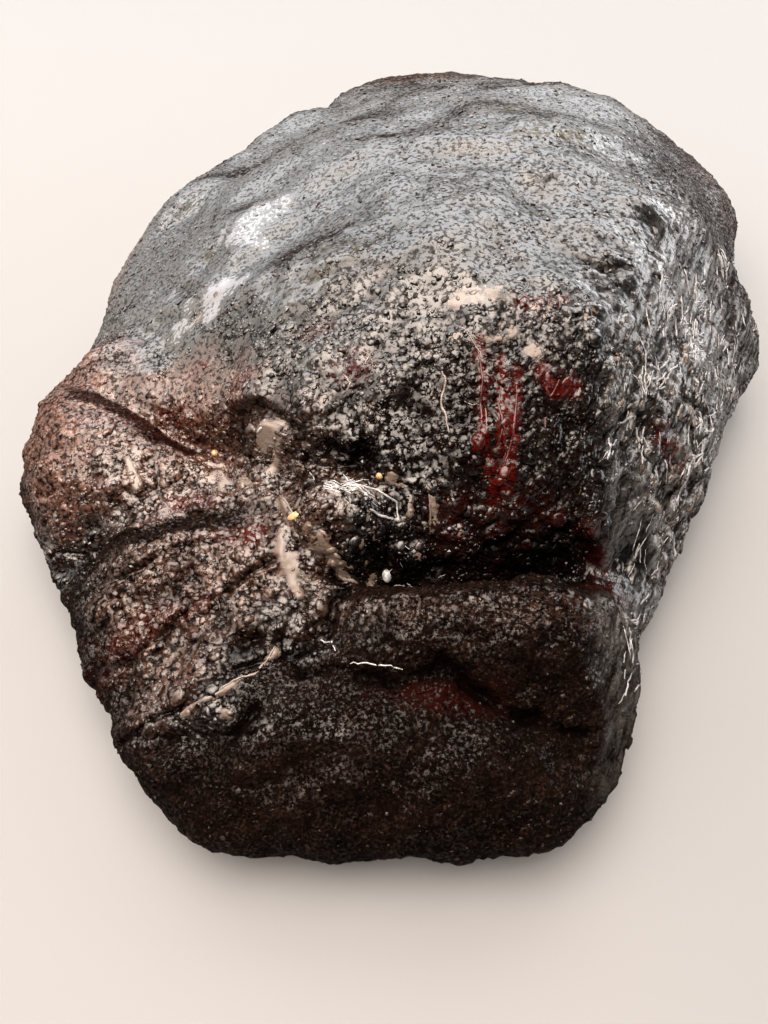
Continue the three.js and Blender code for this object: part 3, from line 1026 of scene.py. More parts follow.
@dataclass
class Meat:
    """The brisket itself: a fine copy of the solid with the bark's relief worked in.

    Attributes:
        finish: The bark's finish.
        foot_height: Points under this height belong to the flat foot and stay where they are.
        fine_height: The height above which the surface is divided a second time.
        finest_height: The height above which the folds are divided a third time.
        folds: The near left and the far right corner of the folds, as shares of the width and the length.
        smoothing: How often the surface is smoothed after each division.
        headroom: How far the bark may stand over the solid's top.
    """

    finish: BarkFinish
    foot_height: float = 0.2 * MM
    fine_height: float = 8 * MM
    finest_height: float = 14 * MM
    folds: tuple[Place, Place] = ((-0.34, -0.44), (0.18, -0.1985))
    smoothing: int = 3
    headroom: float = 2 * MM

    def build(self, solid: bpy.types.Object, plan: Plan) -> bpy.types.Object:
        """Builds the piece.

        Args:
            solid: The CAD node.
            plan: The brisket's size.

        Returns:
            The finished piece, with each look as an attribute.
        """
        mesh = self.fine_mesh(solid, plan)
        relief = Relief(plan)
        points = vertex_array(mesh)
        normals = vertex_array(mesh, "normal")
        heights = relief.height(points, normals)
        heights[points[:, 2] < self.foot_height] = 0.0
        points += normals * heights[:, None]
        points[:, 2] = np.clip(points[:, 2], 0.0, plan.height + self.headroom)
        mesh.vertices.foreach_set("co", points.ravel())
        for look, values in relief.looks.items():
            set_attribute(mesh, look.value, values)
        mesh.update()
        mesh.shade_smooth()
        return add_object("meat", mesh, self.finish.material())

    def fine_mesh(self, solid: bpy.types.Object, plan: Plan) -> bpy.types.Mesh:
        """Copies the solid and subdivides it, most finely where it is folded.

        Args:
            solid: The CAD node.
            plan: The brisket's size.

        Returns:
            The new mesh.
        """
        shape = bmesh.new()
        shape.from_mesh(solid.data)
        bmesh.ops.remove_doubles(shape, verts=shape.verts, dist=0.01 * MM)
        self.subdivide(shape, lambda p: p.z > self.foot_height)
        self.subdivide(shape, lambda p: p.z > self.fine_height)
        self.subdivide(shape, lambda p: p.z > self.finest_height and self.in_folds(p, plan))
        bmesh.ops.triangulate(shape, faces=shape.faces)
        mesh = bpy.data.meshes.new("meat")
        shape.to_mesh(mesh)
        shape.free()
        return mesh

    def in_folds(self, point: Vector, plan: Plan) -> bool:
        """Whether a point lies where the surface is folded and shows largest."""
        (left, near), (right, far) = self.folds
        return near < point.y / plan.length < far and left < point.x / plan.width < right

    def subdivide(self, shape: bmesh.types.BMesh, wanted: Callable[[Vector], bool]) -> None:
        """Halves the edges that are wanted, then smooths what stands above the foot.

        Args:
            shape: The mesh being built.
            wanted: Says whether an edge with its middle at a point is halved.
        """
        edges = [e for e in shape.edges if wanted((e.verts[0].co + e.verts[1].co) / 2)]
        bmesh.ops.subdivide_edges(shape, edges=edges, cuts=1, use_grid_fill=True)
        bmesh.ops.triangulate(shape, faces=[f for f in shape.faces if len(f.verts) > 3])
        above = [v for v in shape.verts if v.co.z > self.foot_height]
        for _ in range(self.smoothing):
            bmesh.ops.smooth_vert(
                shape, verts=above, factor=0.35, use_axis_x=True, use_axis_y=True, use_axis_z=True
            )


Weight = Callable[["Surface"], Field]
TRIES = 4  # for each place that is wanted


class Surface:
    """The finished meat, as something to lay small pieces on.

    Attributes:
        corners: Each triangle's vertices.
        points: Each vertex's place.
        normals: Each vertex's normal.
        looks: Each look's strength at each vertex.
        areas: Each triangle's area.
        tree: Finds where a ray meets the meat.
    """

    def __init__(self, meat: bpy.types.Object) -> None:
        """Reads the meat's triangles and looks."""
        mesh = meat.data
        mesh.calc_loop_triangles()
        corners = np.empty(3 * len(mesh.loop_triangles), np.int32)
        mesh.loop_triangles.foreach_get("vertices", corners)
        self.corners = corners.reshape(-1, 3)
        self.points = vertex_array(mesh)
        self.normals = vertex_array(mesh, "normal")
        self.looks = {look: self.read(mesh, look.value) for look in Look}
        triangles = self.points[self.corners]
        sides = triangles[:, 1:] - triangles[:, :1]
        self.areas = np.linalg.norm(np.cross(sides[:, 0], sides[:, 1]), axis=1) / 2
        self.tree = BVHTree.FromPolygons(self.points.tolist(), self.corners.tolist())

    @staticmethod
    def read(mesh: bpy.types.Mesh, name: str) -> Field:
        """Reads a number of each vertex."""
        values = np.empty(len(mesh.vertices), np.float32)
        mesh.attributes[name].data.foreach_get("value", values)
        return values

    def under(self, place: Iterable[float]) -> tuple[Vector | None, Vector | None]:
        """The meat's highest point at a place in plan, and its normal there."""
        point, normal, _, _ = self.tree.ray_cast(Vector((*place, RAY_HEIGHT)), DOWN)
        return point, normal

    def spots(
        self,
        wanted: Weight,
        count: int,
        spacing: float,
        draw: np.random.Generator,
    ) -> tuple[Field, Field, dict[Look, Field]]:
        """Finds places on the surface that keep a distance from each other.

        Args:
            wanted: Gives each vertex a weight: how many places there are to be near it.
            count: The most places.
            spacing: The least distance between two.
            draw: The source of random numbers.

        Returns:
            Their points, their normals, and each look's strength there.
        """
        weights = self.areas * wanted(self)[self.corners].mean(axis=1)
        tries = TRIES * count
        chosen = draw.choice(len(weights), tries, p=weights / weights.sum())
        shares = draw.dirichlet((1.0, 1.0, 1.0), tries)
        corners = self.corners[chosen]
        points = np.einsum("ij,ijk->ik", shares, self.points[corners])
        kept = self.apart(points, spacing)[:count]
        shares = shares[kept]
        corners = corners[kept]
        normals = np.einsum("ij,ijk->ik", shares, self.normals[corners])
        normals /= np.linalg.norm(normals, axis=1)[:, None]
        looks = {k: (shares * v[corners]).sum(axis=1) for k, v in self.looks.items()}
        return points[kept], normals, looks

    @staticmethod
    def apart(points: Field, spacing: float) -> list[int]:
        """Drops each point that is too near an earlier one.

        Args:
            points: One row for each point.
            spacing: The least distance between two.

        Returns:
            The rows that are left.
        """
        cells: dict[tuple[int, ...], list[Sequence[float]]] = {}
        kept = []
        keys = np.floor(points / spacing).astype(int).tolist()
        for row, (key, point) in enumerate(zip(keys, points.tolist())):
            around = product(*((i - 1, i, i + 1) for i in key))
            others = (other for cell in around for other in cells.get(cell, ()))
            if all(sum((a - b) ** 2 for a, b in zip(point, other)) >= spacing**2 for other in others):
                cells.setdefault(tuple(key), []).append(point)
                kept.append(row)
        return kept


class GrainShape(Enum):
    """How a small grain is shaped. The value is how uneven it is."""

    ROUND = 0.24
    CRACKED = 0.38


RADII = (1.6, 2.4)  # the beta distribution between the smallest and the largest radius
STRETCH = (0.8, 1.25)  # of one grain along each of its two axes
SQUASH = (0.65, 1.35)  # of one kind of grain along each of its three axes


@dataclass
class Grains:
    """A great many small grains of one kind, joined in one mesh.

    Attributes:
        name: The piece's name.
        finish: The grains' finish.
        shape: How one grain is shaped.
        count: The most grains.
        radius: The smallest and largest radius.
        spacing: The least distance between two.
        sunk: The share of its height that a grain is sunk by.
        flat: A grain's height as a share of its width.
        wanted: Where the grains lie, as a weight for each vertex of the meat.
        seed: Fixes the random numbers.
        detail: How finely a grain is divided.
        kinds: How many grains differ in form.
    """

    name: str
    finish: Finish
    shape: GrainShape
    count: int
    radius: tuple[float, float]
    spacing: float
    sunk: float
    flat: float
    wanted: Weight
    seed: int
    detail: int = 1
    kinds: int = 16

    def build(self, surface: Surface) -> bpy.types.Object:
        """Builds the piece.

        Args:
            surface: The meat that the grains lie on.

        Returns:
            The finished piece.
        """
        draw = np.random.default_rng(self.seed)
        points, normals, looks = surface.spots(self.wanted, self.count, self.spacing, draw)
        templates = [self.template(draw) for _ in range(self.kinds)]
        faces = templates[0][1]
        shapes = np.array([verts for verts, _ in templates])
        count = len(points)
        picked = shapes[draw.integers(len(templates), size=count)]
        radii = self.radius[0] + (self.radius[1] - self.radius[0]) * draw.beta(*RADII, count)
        stretch = draw.uniform(*STRETCH, (count, 2))
        sizes = np.column_stack([radii * stretch[:, 0], radii * stretch[:, 1], radii * self.flat])
        turned = self.frames(normals, draw)
        verts = np.einsum("nvk,nkj->nvj", picked * sizes[:, None, :], turned)
        lift = radii * self.flat * (1.0 - 2.0 * self.sunk)
        verts += (points + normals * lift[:, None])[:, None, :]
        corners = faces[None] + (np.arange(count) * shapes.shape[1])[:, None, None]
        mesh = bpy.data.meshes.new(self.name)
        mesh.from_pydata(verts.reshape(-1, 3).tolist(), [], corners.reshape(-1, 3).tolist())
        set_attribute(mesh, TONE, np.repeat(draw.random(count) ** 1.5, shapes.shape[1]))
        for look, strength in looks.items():
            set_attribute(mesh, look.value, np.repeat(strength, shapes.shape[1]))
        if self.shape is GrainShape.ROUND:
            mesh.shade_smooth()
        return add_object(self.name, mesh, self.finish.material())

    def template(self, draw: np.random.Generator) -> tuple[Field, Field]:
        """Makes one uneven grain of radius 1.

        Args:
            draw: The source of random numbers.

        Returns:
            Its vertices and its triangles.
        """
        shape = bmesh.new()
        bmesh.ops.create_icosphere(shape, subdivisions=self.detail, radius=1.0)
        squash = Vector(draw.uniform(*SQUASH, 3).tolist())
        for vert in shape.verts:
            vert.co *= 1.0 + self.shape.value * float(draw.uniform(-1.0, 1.0))
            vert.co *= squash
        verts = np.array([v.co[:] for v in shape.verts])
        faces = np.array([[v.index for v in f.verts] for f in shape.faces])
        shape.free()
        return verts, faces

    @staticmethod
    def frames(normals: Field, draw: np.random.Generator) -> Field:
        """Makes a frame for each normal, turned about it at random.

        Args:
            normals: One row for each grain.
            draw: The source of random numbers.

        Returns:
            Three rows for each grain, with the normal as the third.
        """
        spin = draw.normal(size=normals.shape)
        first = np.cross(spin, normals)
        first /= np.linalg.norm(first, axis=1)[:, None]
        return np.stack([first, np.cross(normals, first), normals], axis=1)


@dataclass(frozen=True)
class Bundle:
    """Strands that run side by side along a path.

    Attributes:
        path: Points as shares of the width and the length.
        half: Half the width of a strand, in millimetres.
        count: How many strands there are.
        spread: How far from the path they lie, in millimetres.
    """

    path: tuple[Place, ...]
    half: float
    count: int = 1
    spread: float = 0.0


WIDTHS = (0.6, 1.3)  # of one strand, as a share of the usual
SWELLS = (0.75, 1.2)  # of one point of a strand, as a share of the strand's width


@dataclass
class Strands:
    """Thin strands of fat, film or juice that lie on the meat, joined in one mesh.

    Attributes:
        name: The piece's name.
        finish: Their finish.
        bundles: Where they lie.
        seed: Fixes the random numbers.
        step: The distance between two points of a strand.
        wander: How far a strand strays from its path.
        drift: How much of its straying a strand keeps from one point to the next.
        jump: The strand ends before a gap of more than this many steps.
        steps: The fewest points in a strand of a bundle, and one more than the most.
        room: The fewest points of the path after a strand's first one, where the path has so many.
        crossing: How far a strand of a bundle is turned from the others, in radians.
    """

    name: str
    finish: Finish
    bundles: tuple[Bundle, ...]
    seed: int
    step: float = 0.7 * MM
    wander: float = 0.09 * MM
    drift: float = 0.93
    jump: float = 3.0
    steps: tuple[int, int] = (4, 12)
    room: int = 6
    crossing: float = 0.35

    def build(self, surface: Surface, plan: Plan) -> bpy.types.Object:
        """Builds the piece.

        Args:
            surface: The meat that they lie on.
            plan: The brisket's size.

        Returns:
            The finished piece.
        """
        draw = np.random.default_rng(self.seed)
        curve = bpy.data.curves.new(self.name, "CURVE")
        curve.dimensions = "3D"
        curve.bevel_depth = 1.0
        curve.bevel_resolution = 1
        curve.use_fill_caps = True
        for bundle in self.bundles:
            whole = self.even_steps([np.array(plan.place(share)) for share in bundle.path])
            for _ in range(bundle.count):
                path = self.stretch(whole, draw) if bundle.count > 1 else whole
                aside = draw.normal(size=2) * bundle.spread * MM
                radius = bundle.half * MM * float(draw.uniform(*WIDTHS))
                self.add_spline(curve, self.laid(path + aside, surface, draw), radius, draw)
        holder = bpy.data.objects.new(self.name, curve)
        mesh = bpy.data.meshes.new_from_object(holder)
        bpy.data.objects.remove(holder)
        mesh.name = self.name
        mesh.shade_smooth()
        return add_object(self.name, mesh, self.finish.material())

    def stretch(self, whole: Field, draw: np.random.Generator) -> Field:
        """Picks a short stretch of a path and turns it a little, so that strands cross each other.

        Args:
            whole: The path, one row for each point.
            draw: The source of random numbers.

        Returns:
            The stretch, one row for each point.
        """
        first = int(draw.integers(0, max(1, len(whole) - self.room)))
        path = whole[first : first + int(draw.integers(*self.steps))]
        angle = float(draw.normal()) * self.crossing
        turn = np.array([[math.cos(angle), math.sin(angle)], [-math.sin(angle), math.cos(angle)]])
        middle = path.mean(axis=0)
        return middle + (path - middle) @ turn

    def even_steps(self, corners: list[Field]) -> Field:
        """Finds points a step apart along a path in plan.

        Args:
            corners: The path's corners.

        Returns:
            One row for each point.
        """
        points = [corners[0]]
        for start, end in zip(corners, corners[1:]):
            count = max(1, round(float(np.linalg.norm(end - start)) / self.step))
            points += [start + (end - start) * (i + 1) / count for i in range(count)]
        return np.array(points)

    def laid(self, path: Field, surface: Surface, draw: np.random.Generator) -> list[Vector]:
        """Lays a path in plan on the meat.

        Args:
            path: One row for each point.
            surface: The meat.
            draw: The source of random numbers.

        Returns:
            The points of the strand.
        """
        points = []
        astray = np.zeros(2)
        for place in path:
            astray = self.drift * astray + self.wander * draw.normal(size=2)
            landed, _ = surface.under(place + astray)
            if landed is None or points and (landed - points[-1]).length > self.jump * self.step:
                break
            points.append(landed)
        return points

    @staticmethod
    def add_spline(
        curve: bpy.types.Curve, path: list[Vector], radius: float, draw: np.random.Generator
    ) -> None:
        """Adds a strand to the curve, thin at both ends and uneven between them.

        Args:
            curve: The curve being built.
            path: The strand's points. Under three of them make no strand.
            radius: Its usual radius.
            draw: The source of random numbers.
        """
        if len(path) < 3:
            return
        spline = curve.splines.new("POLY")
        spline.points.add(len(path) - 1)
        for i, point in enumerate(path):
            share = i / (len(path) - 1)
            swell = 0.30 + 0.70 * math.sin(math.pi * min(1.0, 0.08 + 0.84 * share)) ** 0.6
            spline.points[i].co = (*point, 1.0)
            spline.points[i].radius = radius * swell * float(draw.uniform(*SWELLS))


@dataclass(frozen=True)
class Blob:
    """One bead of fat or drop of juice on the meat.

    Attributes:
        place: Shares of the width and the length.
        across: Half its size along its own first axis, in millimetres.
        along: Half its size along its own second axis, in millimetres.
        tall: Half its height, in millimetres.
        turn: How far it is turned about the meat's normal, in degrees.
    """

    place: Place
    across: float
    along: float
    tall: float
    turn: float = 0.0


@dataclass
class Blobs:
    """Beads of fat or drops of juice, joined in one mesh.

    Attributes:
        name: The piece's name.
        finish: Their finish.
        blobs: Where they lie, and their sizes.
    """

    name: str
    finish: GlossFinish
    blobs: tuple[Blob, ...]

    def build(self, surface: Surface, plan: Plan) -> bpy.types.Object:
        """Builds the piece.

        Args:
            surface: The meat that they lie on.
            plan: The brisket's size.

        Returns:
            The finished piece.
        """
        joined = bmesh.new()
        for blob in self.blobs:
            point, normal = surface.under(plan.place(blob.place))
            made = bmesh.ops.create_icosphere(joined, subdivisions=2, radius=1.0)
            size = Matrix.Diagonal((blob.across * MM, blob.along * MM, blob.tall * MM, 1.0))
            spin = Matrix.Rotation(math.radians(blob.turn), 4, "Z")
            lean = normal.to_track_quat("Z", "Y").to_matrix().to_4x4()
            place = Matrix.Translation(point) @ lean @ spin @ size
            bmesh.ops.transform(joined, matrix=place, verts=made["verts"])
        mesh = bpy.data.meshes.new(self.name)
        joined.to_mesh(mesh)
        joined.free()
        mesh.shade_smooth()
        return add_object(self.name, mesh, self.finish.material())


@dataclass(frozen=True)
class Softbox:
    """A flat studio light.

    Attributes:
        name: Its name.
        place: Where its middle is.
        size: Its width and height.
        brightness: Its radiance.
        colour: Its tint.
    """

    name: str
    place: Triple
    size: tuple[float, float]
    brightness: float
    colour: Colour = (1.0, 1.0, 1.0)

    def build(self, target: Vector) -> bpy.types.Object:
        """Hangs the light.

        Args:
            target: What it faces.

        Returns:
            The light.
        """
        light = bpy.data.lights.new(self.name, "AREA")
        light.shape = "RECTANGLE"
        light.size, light.size_y = self.size
        light.color = self.colour
        light.energy = self.brightness * math.pi * self.size[0] * self.size[1]
        lamp = bpy.data.objects.new(self.name, light)
        lamp.location = self.place
        lamp.rotation_euler = (target - lamp.location).to_track_quat("-Z", "Y").to_euler()
        lamp.visible_camera = False
        bpy.context.scene.collection.objects.link(lamp)
        return lamp


@dataclass
class Studio:
    """The pale floor, the soft lights and the camera.

    Attributes:
        floor_side: How wide and long the floor is.
        floor_gap: How far it lies under the meat.
        camera_place: Where the camera is.
        camera_pitch: How far it looks down, in degrees.
        focal_pixels: Its focal length, in pixels of the picture.
        sensor: The length of its sensor's longer side, in millimetres.
        clip_start: How near it sees.
        target: What the lights face.
        lights: The soft lights.
        air: The colour of the even light.
        air_strength: And its strength.
    """

    floor_side: float = 6.0
    floor_gap: float = 0.1 * MM
    camera_place: Triple = (-19.8 * MM, -247.5 * MM, 205.7 * MM)
    camera_pitch: float = 50.0
    focal_pixels: float = 769.0
    sensor: float = 36.0
    clip_start: float = 0.01
    target: Triple = (0.0, 0.0, 0.04)
    lights: tuple[Softbox, ...] = (
        Softbox("sky_low", (0.0, 1.6, 0.28), (3.6, 0.56), 1.6, (1.0, 0.98, 0.96)),
        Softbox("sky_behind", (0.0, 1.40, 0.80), (3.0, 0.55), 4.5, (0.98, 0.98, 1.0)),
        Softbox("sky_upper", (0.0, 1.05, 1.22), (3.0, 0.60), 6.4, (1.0, 0.93, 0.87)),
        Softbox("sky_above", (-0.25, -0.16, 1.30), (1.8, 2.25), 6.0, (1.0, 0.85, 0.74)),
        Softbox("sky_core", (-0.20, -0.10, 1.25), (0.9, 1.2), 6.9, (1.0, 0.86, 0.75)),
        Softbox("side_right", (1.4, 0.5, 0.32), (2.0, 0.6), 4.4, (0.98, 0.98, 1.0)),
        Softbox("side_left", (-1.4, 0.3, 0.60), (1.8, 1.1), 2.6, (1.0, 0.91, 0.82)),
        Softbox("front_small", (0.3, -1.2, 0.9), (0.25, 0.25), 6.0, (1.0, 0.85, 0.70)),
    )
    air: Colour = (0.80, 0.82, 0.86)
    air_strength: float = 0.04

    def build(self) -> None:
        """Sets the stage."""
        self.add_floor()
        for light in self.lights:
            light.build(Vector(self.target))
        self.add_air()
        self.add_camera()
        bpy.context.scene.view_settings.view_transform = "Standard"

    def add_floor(self) -> None:
        """Lays the floor under the meat."""
        shape = bmesh.new()
        bmesh.ops.create_grid(shape, x_segments=1, y_segments=1, size=self.floor_side / 2)
        mesh = bpy.data.meshes.new("floor")
        shape.to_mesh(mesh)
        shape.free()
        floor = add_object("floor", mesh, FloorFinish("floor").material())
        floor.location.z = -self.floor_gap

    def add_air(self) -> None:
        """Fills the room with even light."""
        world = bpy.data.worlds.new("air")
        world.use_nodes = True
        background = world.node_tree.nodes["Background"]
        background.inputs["Color"].default_value = (*self.air, 1.0)
        background.inputs["Strength"].default_value = self.air_strength
        bpy.context.scene.world = world

    def add_camera(self) -> None:
        """Puts the camera where the photograph was taken from."""
        data = bpy.data.cameras.new("camera")
        data.sensor_width = self.sensor
        data.lens = self.sensor * self.focal_pixels / max(PICTURE_SIDES)
        data.clip_start = self.clip_start
        camera = bpy.data.objects.new("camera", data)
        camera.location = self.camera_place
        camera.rotation_euler = (math.radians(90.0 - self.camera_pitch), 0.0, 0.0)
        bpy.context.scene.collection.objects.link(camera)
        bpy.context.scene.camera = camera


# Where grains lie
TURNED_UP = Fade(-0.35, 0.1)  # upward part of the normal
NEAR_HALF = Fade(-10 * MM, -60 * MM)  # along the length
FAR_HALF = Fade(-60 * MM, -10 * MM)  # along the length
BLUNT_END = Fade(-60 * MM, -80 * MM)  # along the length
THIN_FILM = Fade(0.60, 0.35)  # strength of the film
FAR_FILM = Fade(0.80, 0.50)  # strength of the film
CLUSTER = Fade(-0.15, 0.25)  # noise


def open_bark(surface: Surface) -> Field:
    """Where grains stand clear of the film, on top and at the sides."""
    clear = (1.0 - 0.95 * surface.looks[Look.POOL]) * (1.0 - 0.7 * surface.looks[Look.DRY])
    return TURNED_UP.of(surface.normals[:, 2]) * clear + 1e-6


def near_bark(surface: Surface) -> Field:
    """The open bark of the near half, which shows largest."""
    near = NEAR_HALF.of(surface.points[:, 1])
    calm = 1.0 - 0.75 * surface.looks[Look.STREAK]
    return open_bark(surface) * near * calm * THIN_FILM.of(surface.looks[Look.FILM]) + 1e-9


def fold_bark(surface: Surface) -> Field:
    """The open bark of the folds at the blunt end."""
    return near_bark(surface) * BLUNT_END.of(surface.points[:, 1]) + 1e-9


def far_bark(surface: Surface) -> Field:
    """The open bark of the far half."""
    bare = 0.25 + 0.75 * FAR_FILM.of(surface.looks[Look.FILM])
    return open_bark(surface) * FAR_HALF.of(surface.points[:, 1]) * bare + 1e-9


def clustered(wanted: Weight, size: float, shift: float) -> Weight:
    """Gathers what is scattered in clusters.

    Args:
        wanted: The weight for each vertex that is clustered.
        size: The size of a cluster.
        shift: Moves the clusters.

    Returns:
        The new weight for each vertex.
    """

    def weight(surface: Surface) -> Field:
        """The clustered weight for each vertex."""
        return wanted(surface) * (0.1 + CLUSTER.of(Ripple(size, shift).over(surface.points)))

    return weight


BARK = BarkFinish("smoked_bark")
CRUMB = GrainFinish("bark_crumb", (0.0035, 0.0020, 0.0014), (0.016, 0.0085, 0.0058), 0.42, 0.45)
PEPPER = GrainFinish("pepper", (0.003, 0.0025, 0.0022), (0.020, 0.011, 0.007), 0.24, 0.9)
# Runs of fat on the flank, pale grey partly as painted highlight of their glints
TALLOW_AND_GLINT = GlossFinish("tallow_and_glint", (0.10, 0.10, 0.104), (0.26, 0.26, 0.268), 0.28, 0.20)
# White fat, its whiteness partly painted highlight where the wet nodule glints
WHITE_FAT_AND_GLINT = GlossFinish("white_fat_and_glint", (0.20, 0.20, 0.205), (0.36, 0.355, 0.365), 0.24, 0.35)
TAN_FILM = GlossFinish("tan_film", (0.075, 0.054, 0.044), (0.135, 0.102, 0.085), 0.22)
AMBER = GlossFinish("amber_fat", (0.30, 0.16, 0.060), (0.42, 0.26, 0.12), 0.10)
RED_JUICE = GlossFinish("red_juice", (0.026, 0.0010, 0.0005), (0.048, 0.0020, 0.0008), 0.28, 0.12)

GRAINS = (
    Grains(
        name="crumbs_coarse",
        finish=BARK,
        shape=GrainShape.ROUND,
        count=1100,
        radius=(1.4 * MM, 2.5 * MM),
        spacing=2.8 * MM,
        sunk=0.80,
        flat=0.48,
        wanted=clustered(fold_bark, 14 * MM, 3.0),
        seed=11,
        detail=2,
    ),
    Grains(
        name="crumbs_middling",
        finish=BARK,
        shape=GrainShape.ROUND,
        count=5500,
        radius=(0.70 * MM, 1.35 * MM),
        spacing=1.35 * MM,
        sunk=0.78,
        flat=0.54,
        wanted=clustered(near_bark, 9 * MM, 5.0),
        seed=12,
    ),
    Grains(
        name="crumbs_fine",
        finish=BARK,
        shape=GrainShape.ROUND,
        count=6000,
        radius=(0.42 * MM, 0.85 * MM),
        spacing=1.00 * MM,
        sunk=0.72,
        flat=0.62,
        wanted=clustered(near_bark, 6 * MM, 8.0),
        seed=13,
    ),
    Grains(
        name="crumbs_far",
        finish=CRUMB,
        shape=GrainShape.CRACKED,
        count=3600,
        radius=(0.55 * MM, 1.25 * MM),
        spacing=2.0 * MM,
        sunk=0.66,
        flat=0.55,
        wanted=clustered(far_bark, 9 * MM, 11.0),
        seed=14,
    ),
    Grains(
        name="pepper",
        finish=PEPPER,
        shape=GrainShape.CRACKED,
        count=700,
        radius=(0.45 * MM, 0.8 * MM),
        spacing=3.4 * MM,
        sunk=0.55,
        flat=0.7,
        wanted=open_bark,
        seed=15,
    ),
)
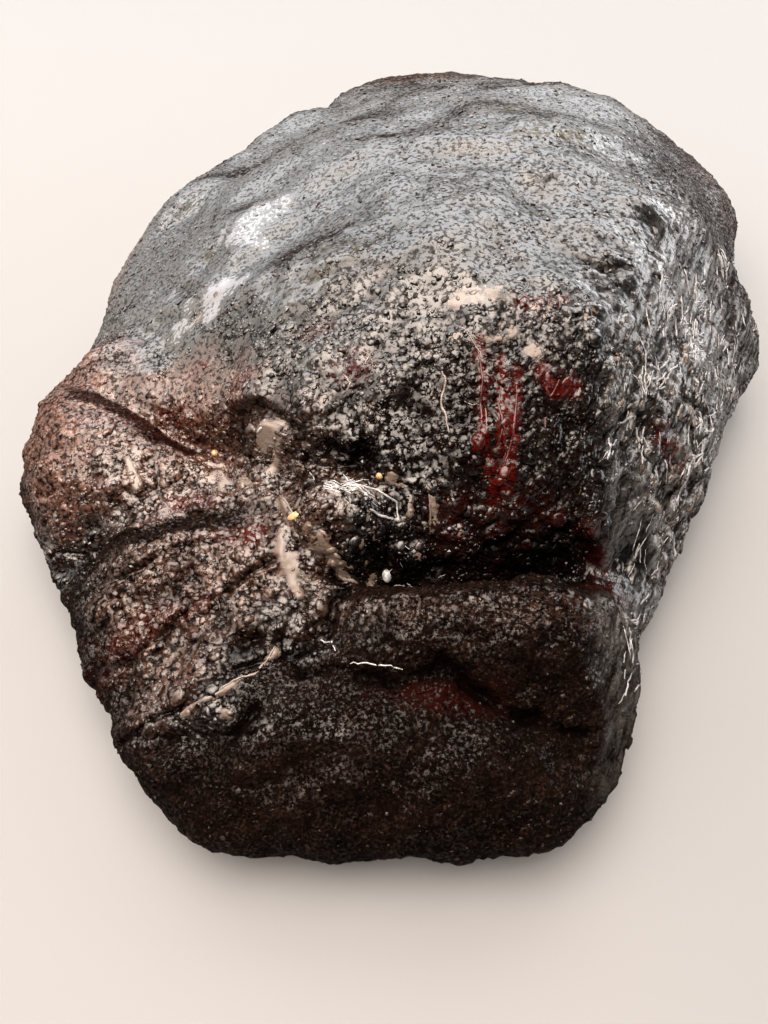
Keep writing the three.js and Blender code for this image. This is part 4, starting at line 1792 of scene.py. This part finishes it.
STRANDS = (
    Strands(
        "tallow_glint_streaks",
        TALLOW_AND_GLINT,
        (
            Bundle(
                ((0.312, -0.070), (0.301, -0.084), (0.292, -0.107), (0.276, -0.137), (0.261, -0.163)),
                0.36,
                60,
                2.8,
            ),
            Bundle(((0.240, -0.170), (0.228, -0.185), (0.205, -0.205), (0.188, -0.221)), 0.34, 18, 1.8),
            Bundle(((0.193, -0.209), (0.186, -0.221), (0.185, -0.238), (0.191, -0.262)), 0.34, 14, 1.2),
            Bundle(((0.173, -0.233), (0.157, -0.249), (0.143, -0.269), (0.133, -0.283)), 0.34, 8, 0.7),
            Bundle(((0.262, -0.190), (0.268, -0.207), (0.265, -0.225)), 0.34, 14, 1.6),
            Bundle(((0.305, -0.190), (0.275, -0.223), (0.252, -0.243), (0.232, -0.262)), 0.36, 26, 1.8),
            Bundle(((0.228, -0.262), (0.234, -0.272), (0.241, -0.282)), 0.34, 10, 1.2),
            Bundle(((0.240, -0.130), (0.220, -0.164), (0.205, -0.190)), 0.26, 12, 2.4),
            Bundle(((0.346, -0.020), (0.346, -0.039), (0.330, -0.065)), 0.34, 12, 1.6),
            Bundle(((0.36, -0.060), (0.33, -0.130), (0.28, -0.200)), 0.26, 70, 7.0),
            Bundle(((0.20, -0.200), (0.22, -0.270), (0.19, -0.320)), 0.22, 40, 6.0),
            Bundle(((0.20, -0.330), (0.165, -0.370), (0.145, -0.410)), 0.26, 26, 2.6),
        ),
        21,
    ),
    Strands(
        # Threads of fat at the nodule, white partly as painted highlight of wet glints
        "fat_glint_threads",
        WHITE_FAT_AND_GLINT,
        (
            Bundle(((-0.146, -0.272), (-0.138, -0.284), (-0.128, -0.300)), 0.20),
            Bundle(((-0.140, -0.296), (-0.120, -0.303), (-0.109, -0.298), (-0.087, -0.293)), 0.26),
            Bundle(((-0.116, -0.280), (-0.106, -0.291), (-0.098, -0.299), (-0.083, -0.310)), 0.24),
            Bundle(((-0.109, -0.298), (-0.081, -0.300), (-0.062, -0.305), (-0.059, -0.315)), 0.28),
            Bundle(((-0.085, -0.315), (-0.075, -0.315), (-0.062, -0.314)), 0.30),
            Bundle(((-0.103, -0.299), (-0.100, -0.305), (-0.092, -0.309), (-0.086, -0.313)), 0.24),
            Bundle(((-0.125, -0.296), (-0.100, -0.300), (-0.072, -0.306)), 0.14, 26, 1.9),
            Bundle(((-0.135, -0.290), (-0.118, -0.299), (-0.104, -0.302)), 0.14, 14, 1.3),
            Bundle(((-0.019, -0.331), (-0.005, -0.329), (0.010, -0.328), (0.020, -0.329)), 0.20),
            Bundle(((-0.101, -0.401), (-0.086, -0.403), (-0.073, -0.406), (-0.057, -0.409)), 0.20),
            Bundle(((-0.129, -0.381), (-0.118, -0.386), (-0.114, -0.393)), 0.24),
            Bundle(((-0.060, -0.333), (-0.030, -0.338)), 0.16, 10, 1.4),
        ),
        22,
    ),
    Strands(
        "film_strings",
        TAN_FILM,
        (
            Bundle(((-0.005, -0.211), (0.005, -0.220), (0.013, -0.227), (0.018, -0.237)), 0.34),
            Bundle(((-0.018, -0.240), (-0.015, -0.248), (-0.018, -0.256), (-0.012, -0.276)), 0.34),
            Bundle(((0.001, -0.257), (0.007, -0.260), (0.015, -0.261)), 0.26),
            Bundle(((0.020, -0.261), (0.021, -0.268), (0.022, -0.277)), 0.26),
            Bundle(((-0.215, -0.418), (-0.198, -0.412), (-0.182, -0.408), (-0.169, -0.391)), 0.40),
            Bundle(((-0.092, -0.222), (-0.086, -0.226), (-0.090, -0.231)), 0.30),
            Bundle(((-0.110, -0.232), (-0.104, -0.238), (-0.108, -0.243)), 0.30),
            Bundle(((-0.172, -0.288), (-0.163, -0.300), (-0.152, -0.317)), 0.40),
            Bundle(((-0.030, -0.305), (-0.028, -0.320)), 0.30),
        ),
        23,
    ),
    Strands(
        "juice_runs",
        RED_JUICE,
        (
            Bundle(((0.015, -0.232), (0.018, -0.244), (0.017, -0.264), (0.017, -0.283)), 0.42),
            Bundle(((0.035, -0.254), (0.034, -0.272), (0.041, -0.289), (0.039, -0.294)), 0.42),
            Bundle(((0.049, -0.254), (0.047, -0.269), (0.043, -0.284), (0.036, -0.299)), 0.42),
            Bundle(((0.079, -0.248), (0.075, -0.255), (0.079, -0.258), (0.089, -0.249)), 0.50),
            Bundle(((0.075, -0.270), (0.075, -0.276)), 0.40),
            Bundle(((0.020, -0.245), (0.036, -0.300)), 0.36, 4, 1.6),
        ),
        24,
    ),
)
BLOBS = (
    Blobs(
        "fat_beads",
        WHITE_FAT_AND_GLINT,
        (
            Blob((-0.069, -0.334), 1.3, 1.9, 1.3, 20.0),
            Blob((-0.195, -0.244), 0.5, 1.4, 0.4, -30.0),
        ),
    ),
    Blobs(
        "amber_beads",
        AMBER,
        (
            Blob((-0.254, -0.223), 1.1, 1.1, 0.8),
            Blob((-0.076, -0.290), 1.0, 1.0, 0.7),
            Blob((-0.156, -0.312), 1.3, 2.2, 0.35, -20.0),
        ),
    ),
    Blobs(
        "juice_drops",
        RED_JUICE,
        (
            Blob((0.038, -0.297), 1.4, 2.0, 0.5),
            Blob((0.078, -0.251), 1.0, 2.0, 0.4, 10.0),
            Blob((0.095, -0.251), 1.8, 0.9, 0.4, 20.0),
        ),
    ),
)


def report(piece: bpy.types.Object) -> None:
    """Logs a piece's size in triangles."""
    piece.data.calc_loop_triangles()
    LOG.info("%s: %d triangles", piece.name, len(piece.data.loop_triangles))


def main() -> None:
    """Builds the meat, what lies on it, and the studio."""
    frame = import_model()
    low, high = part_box(NODE)
    plan = Plan(high.x - low.x, high.y - low.y, high.z)
    meat = Meat(BARK).build(frame["nodes"][NODE], plan)
    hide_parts(NODE)
    surface = Surface(meat)
    pieces: list[bpy.types.Object] = [meat]
    pieces += [grains.build(surface) for grains in GRAINS]
    pieces += [strands.build(surface, plan) for strands in STRANDS]
    pieces += [blobs.build(surface, plan) for blobs in BLOBS]
    for piece in pieces:
        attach(piece, BODY)
        report(piece)
    Studio().build()


if __name__ == "__main__":
    logging.basicConfig(level=logging.INFO, format="%(message)s")
    main()
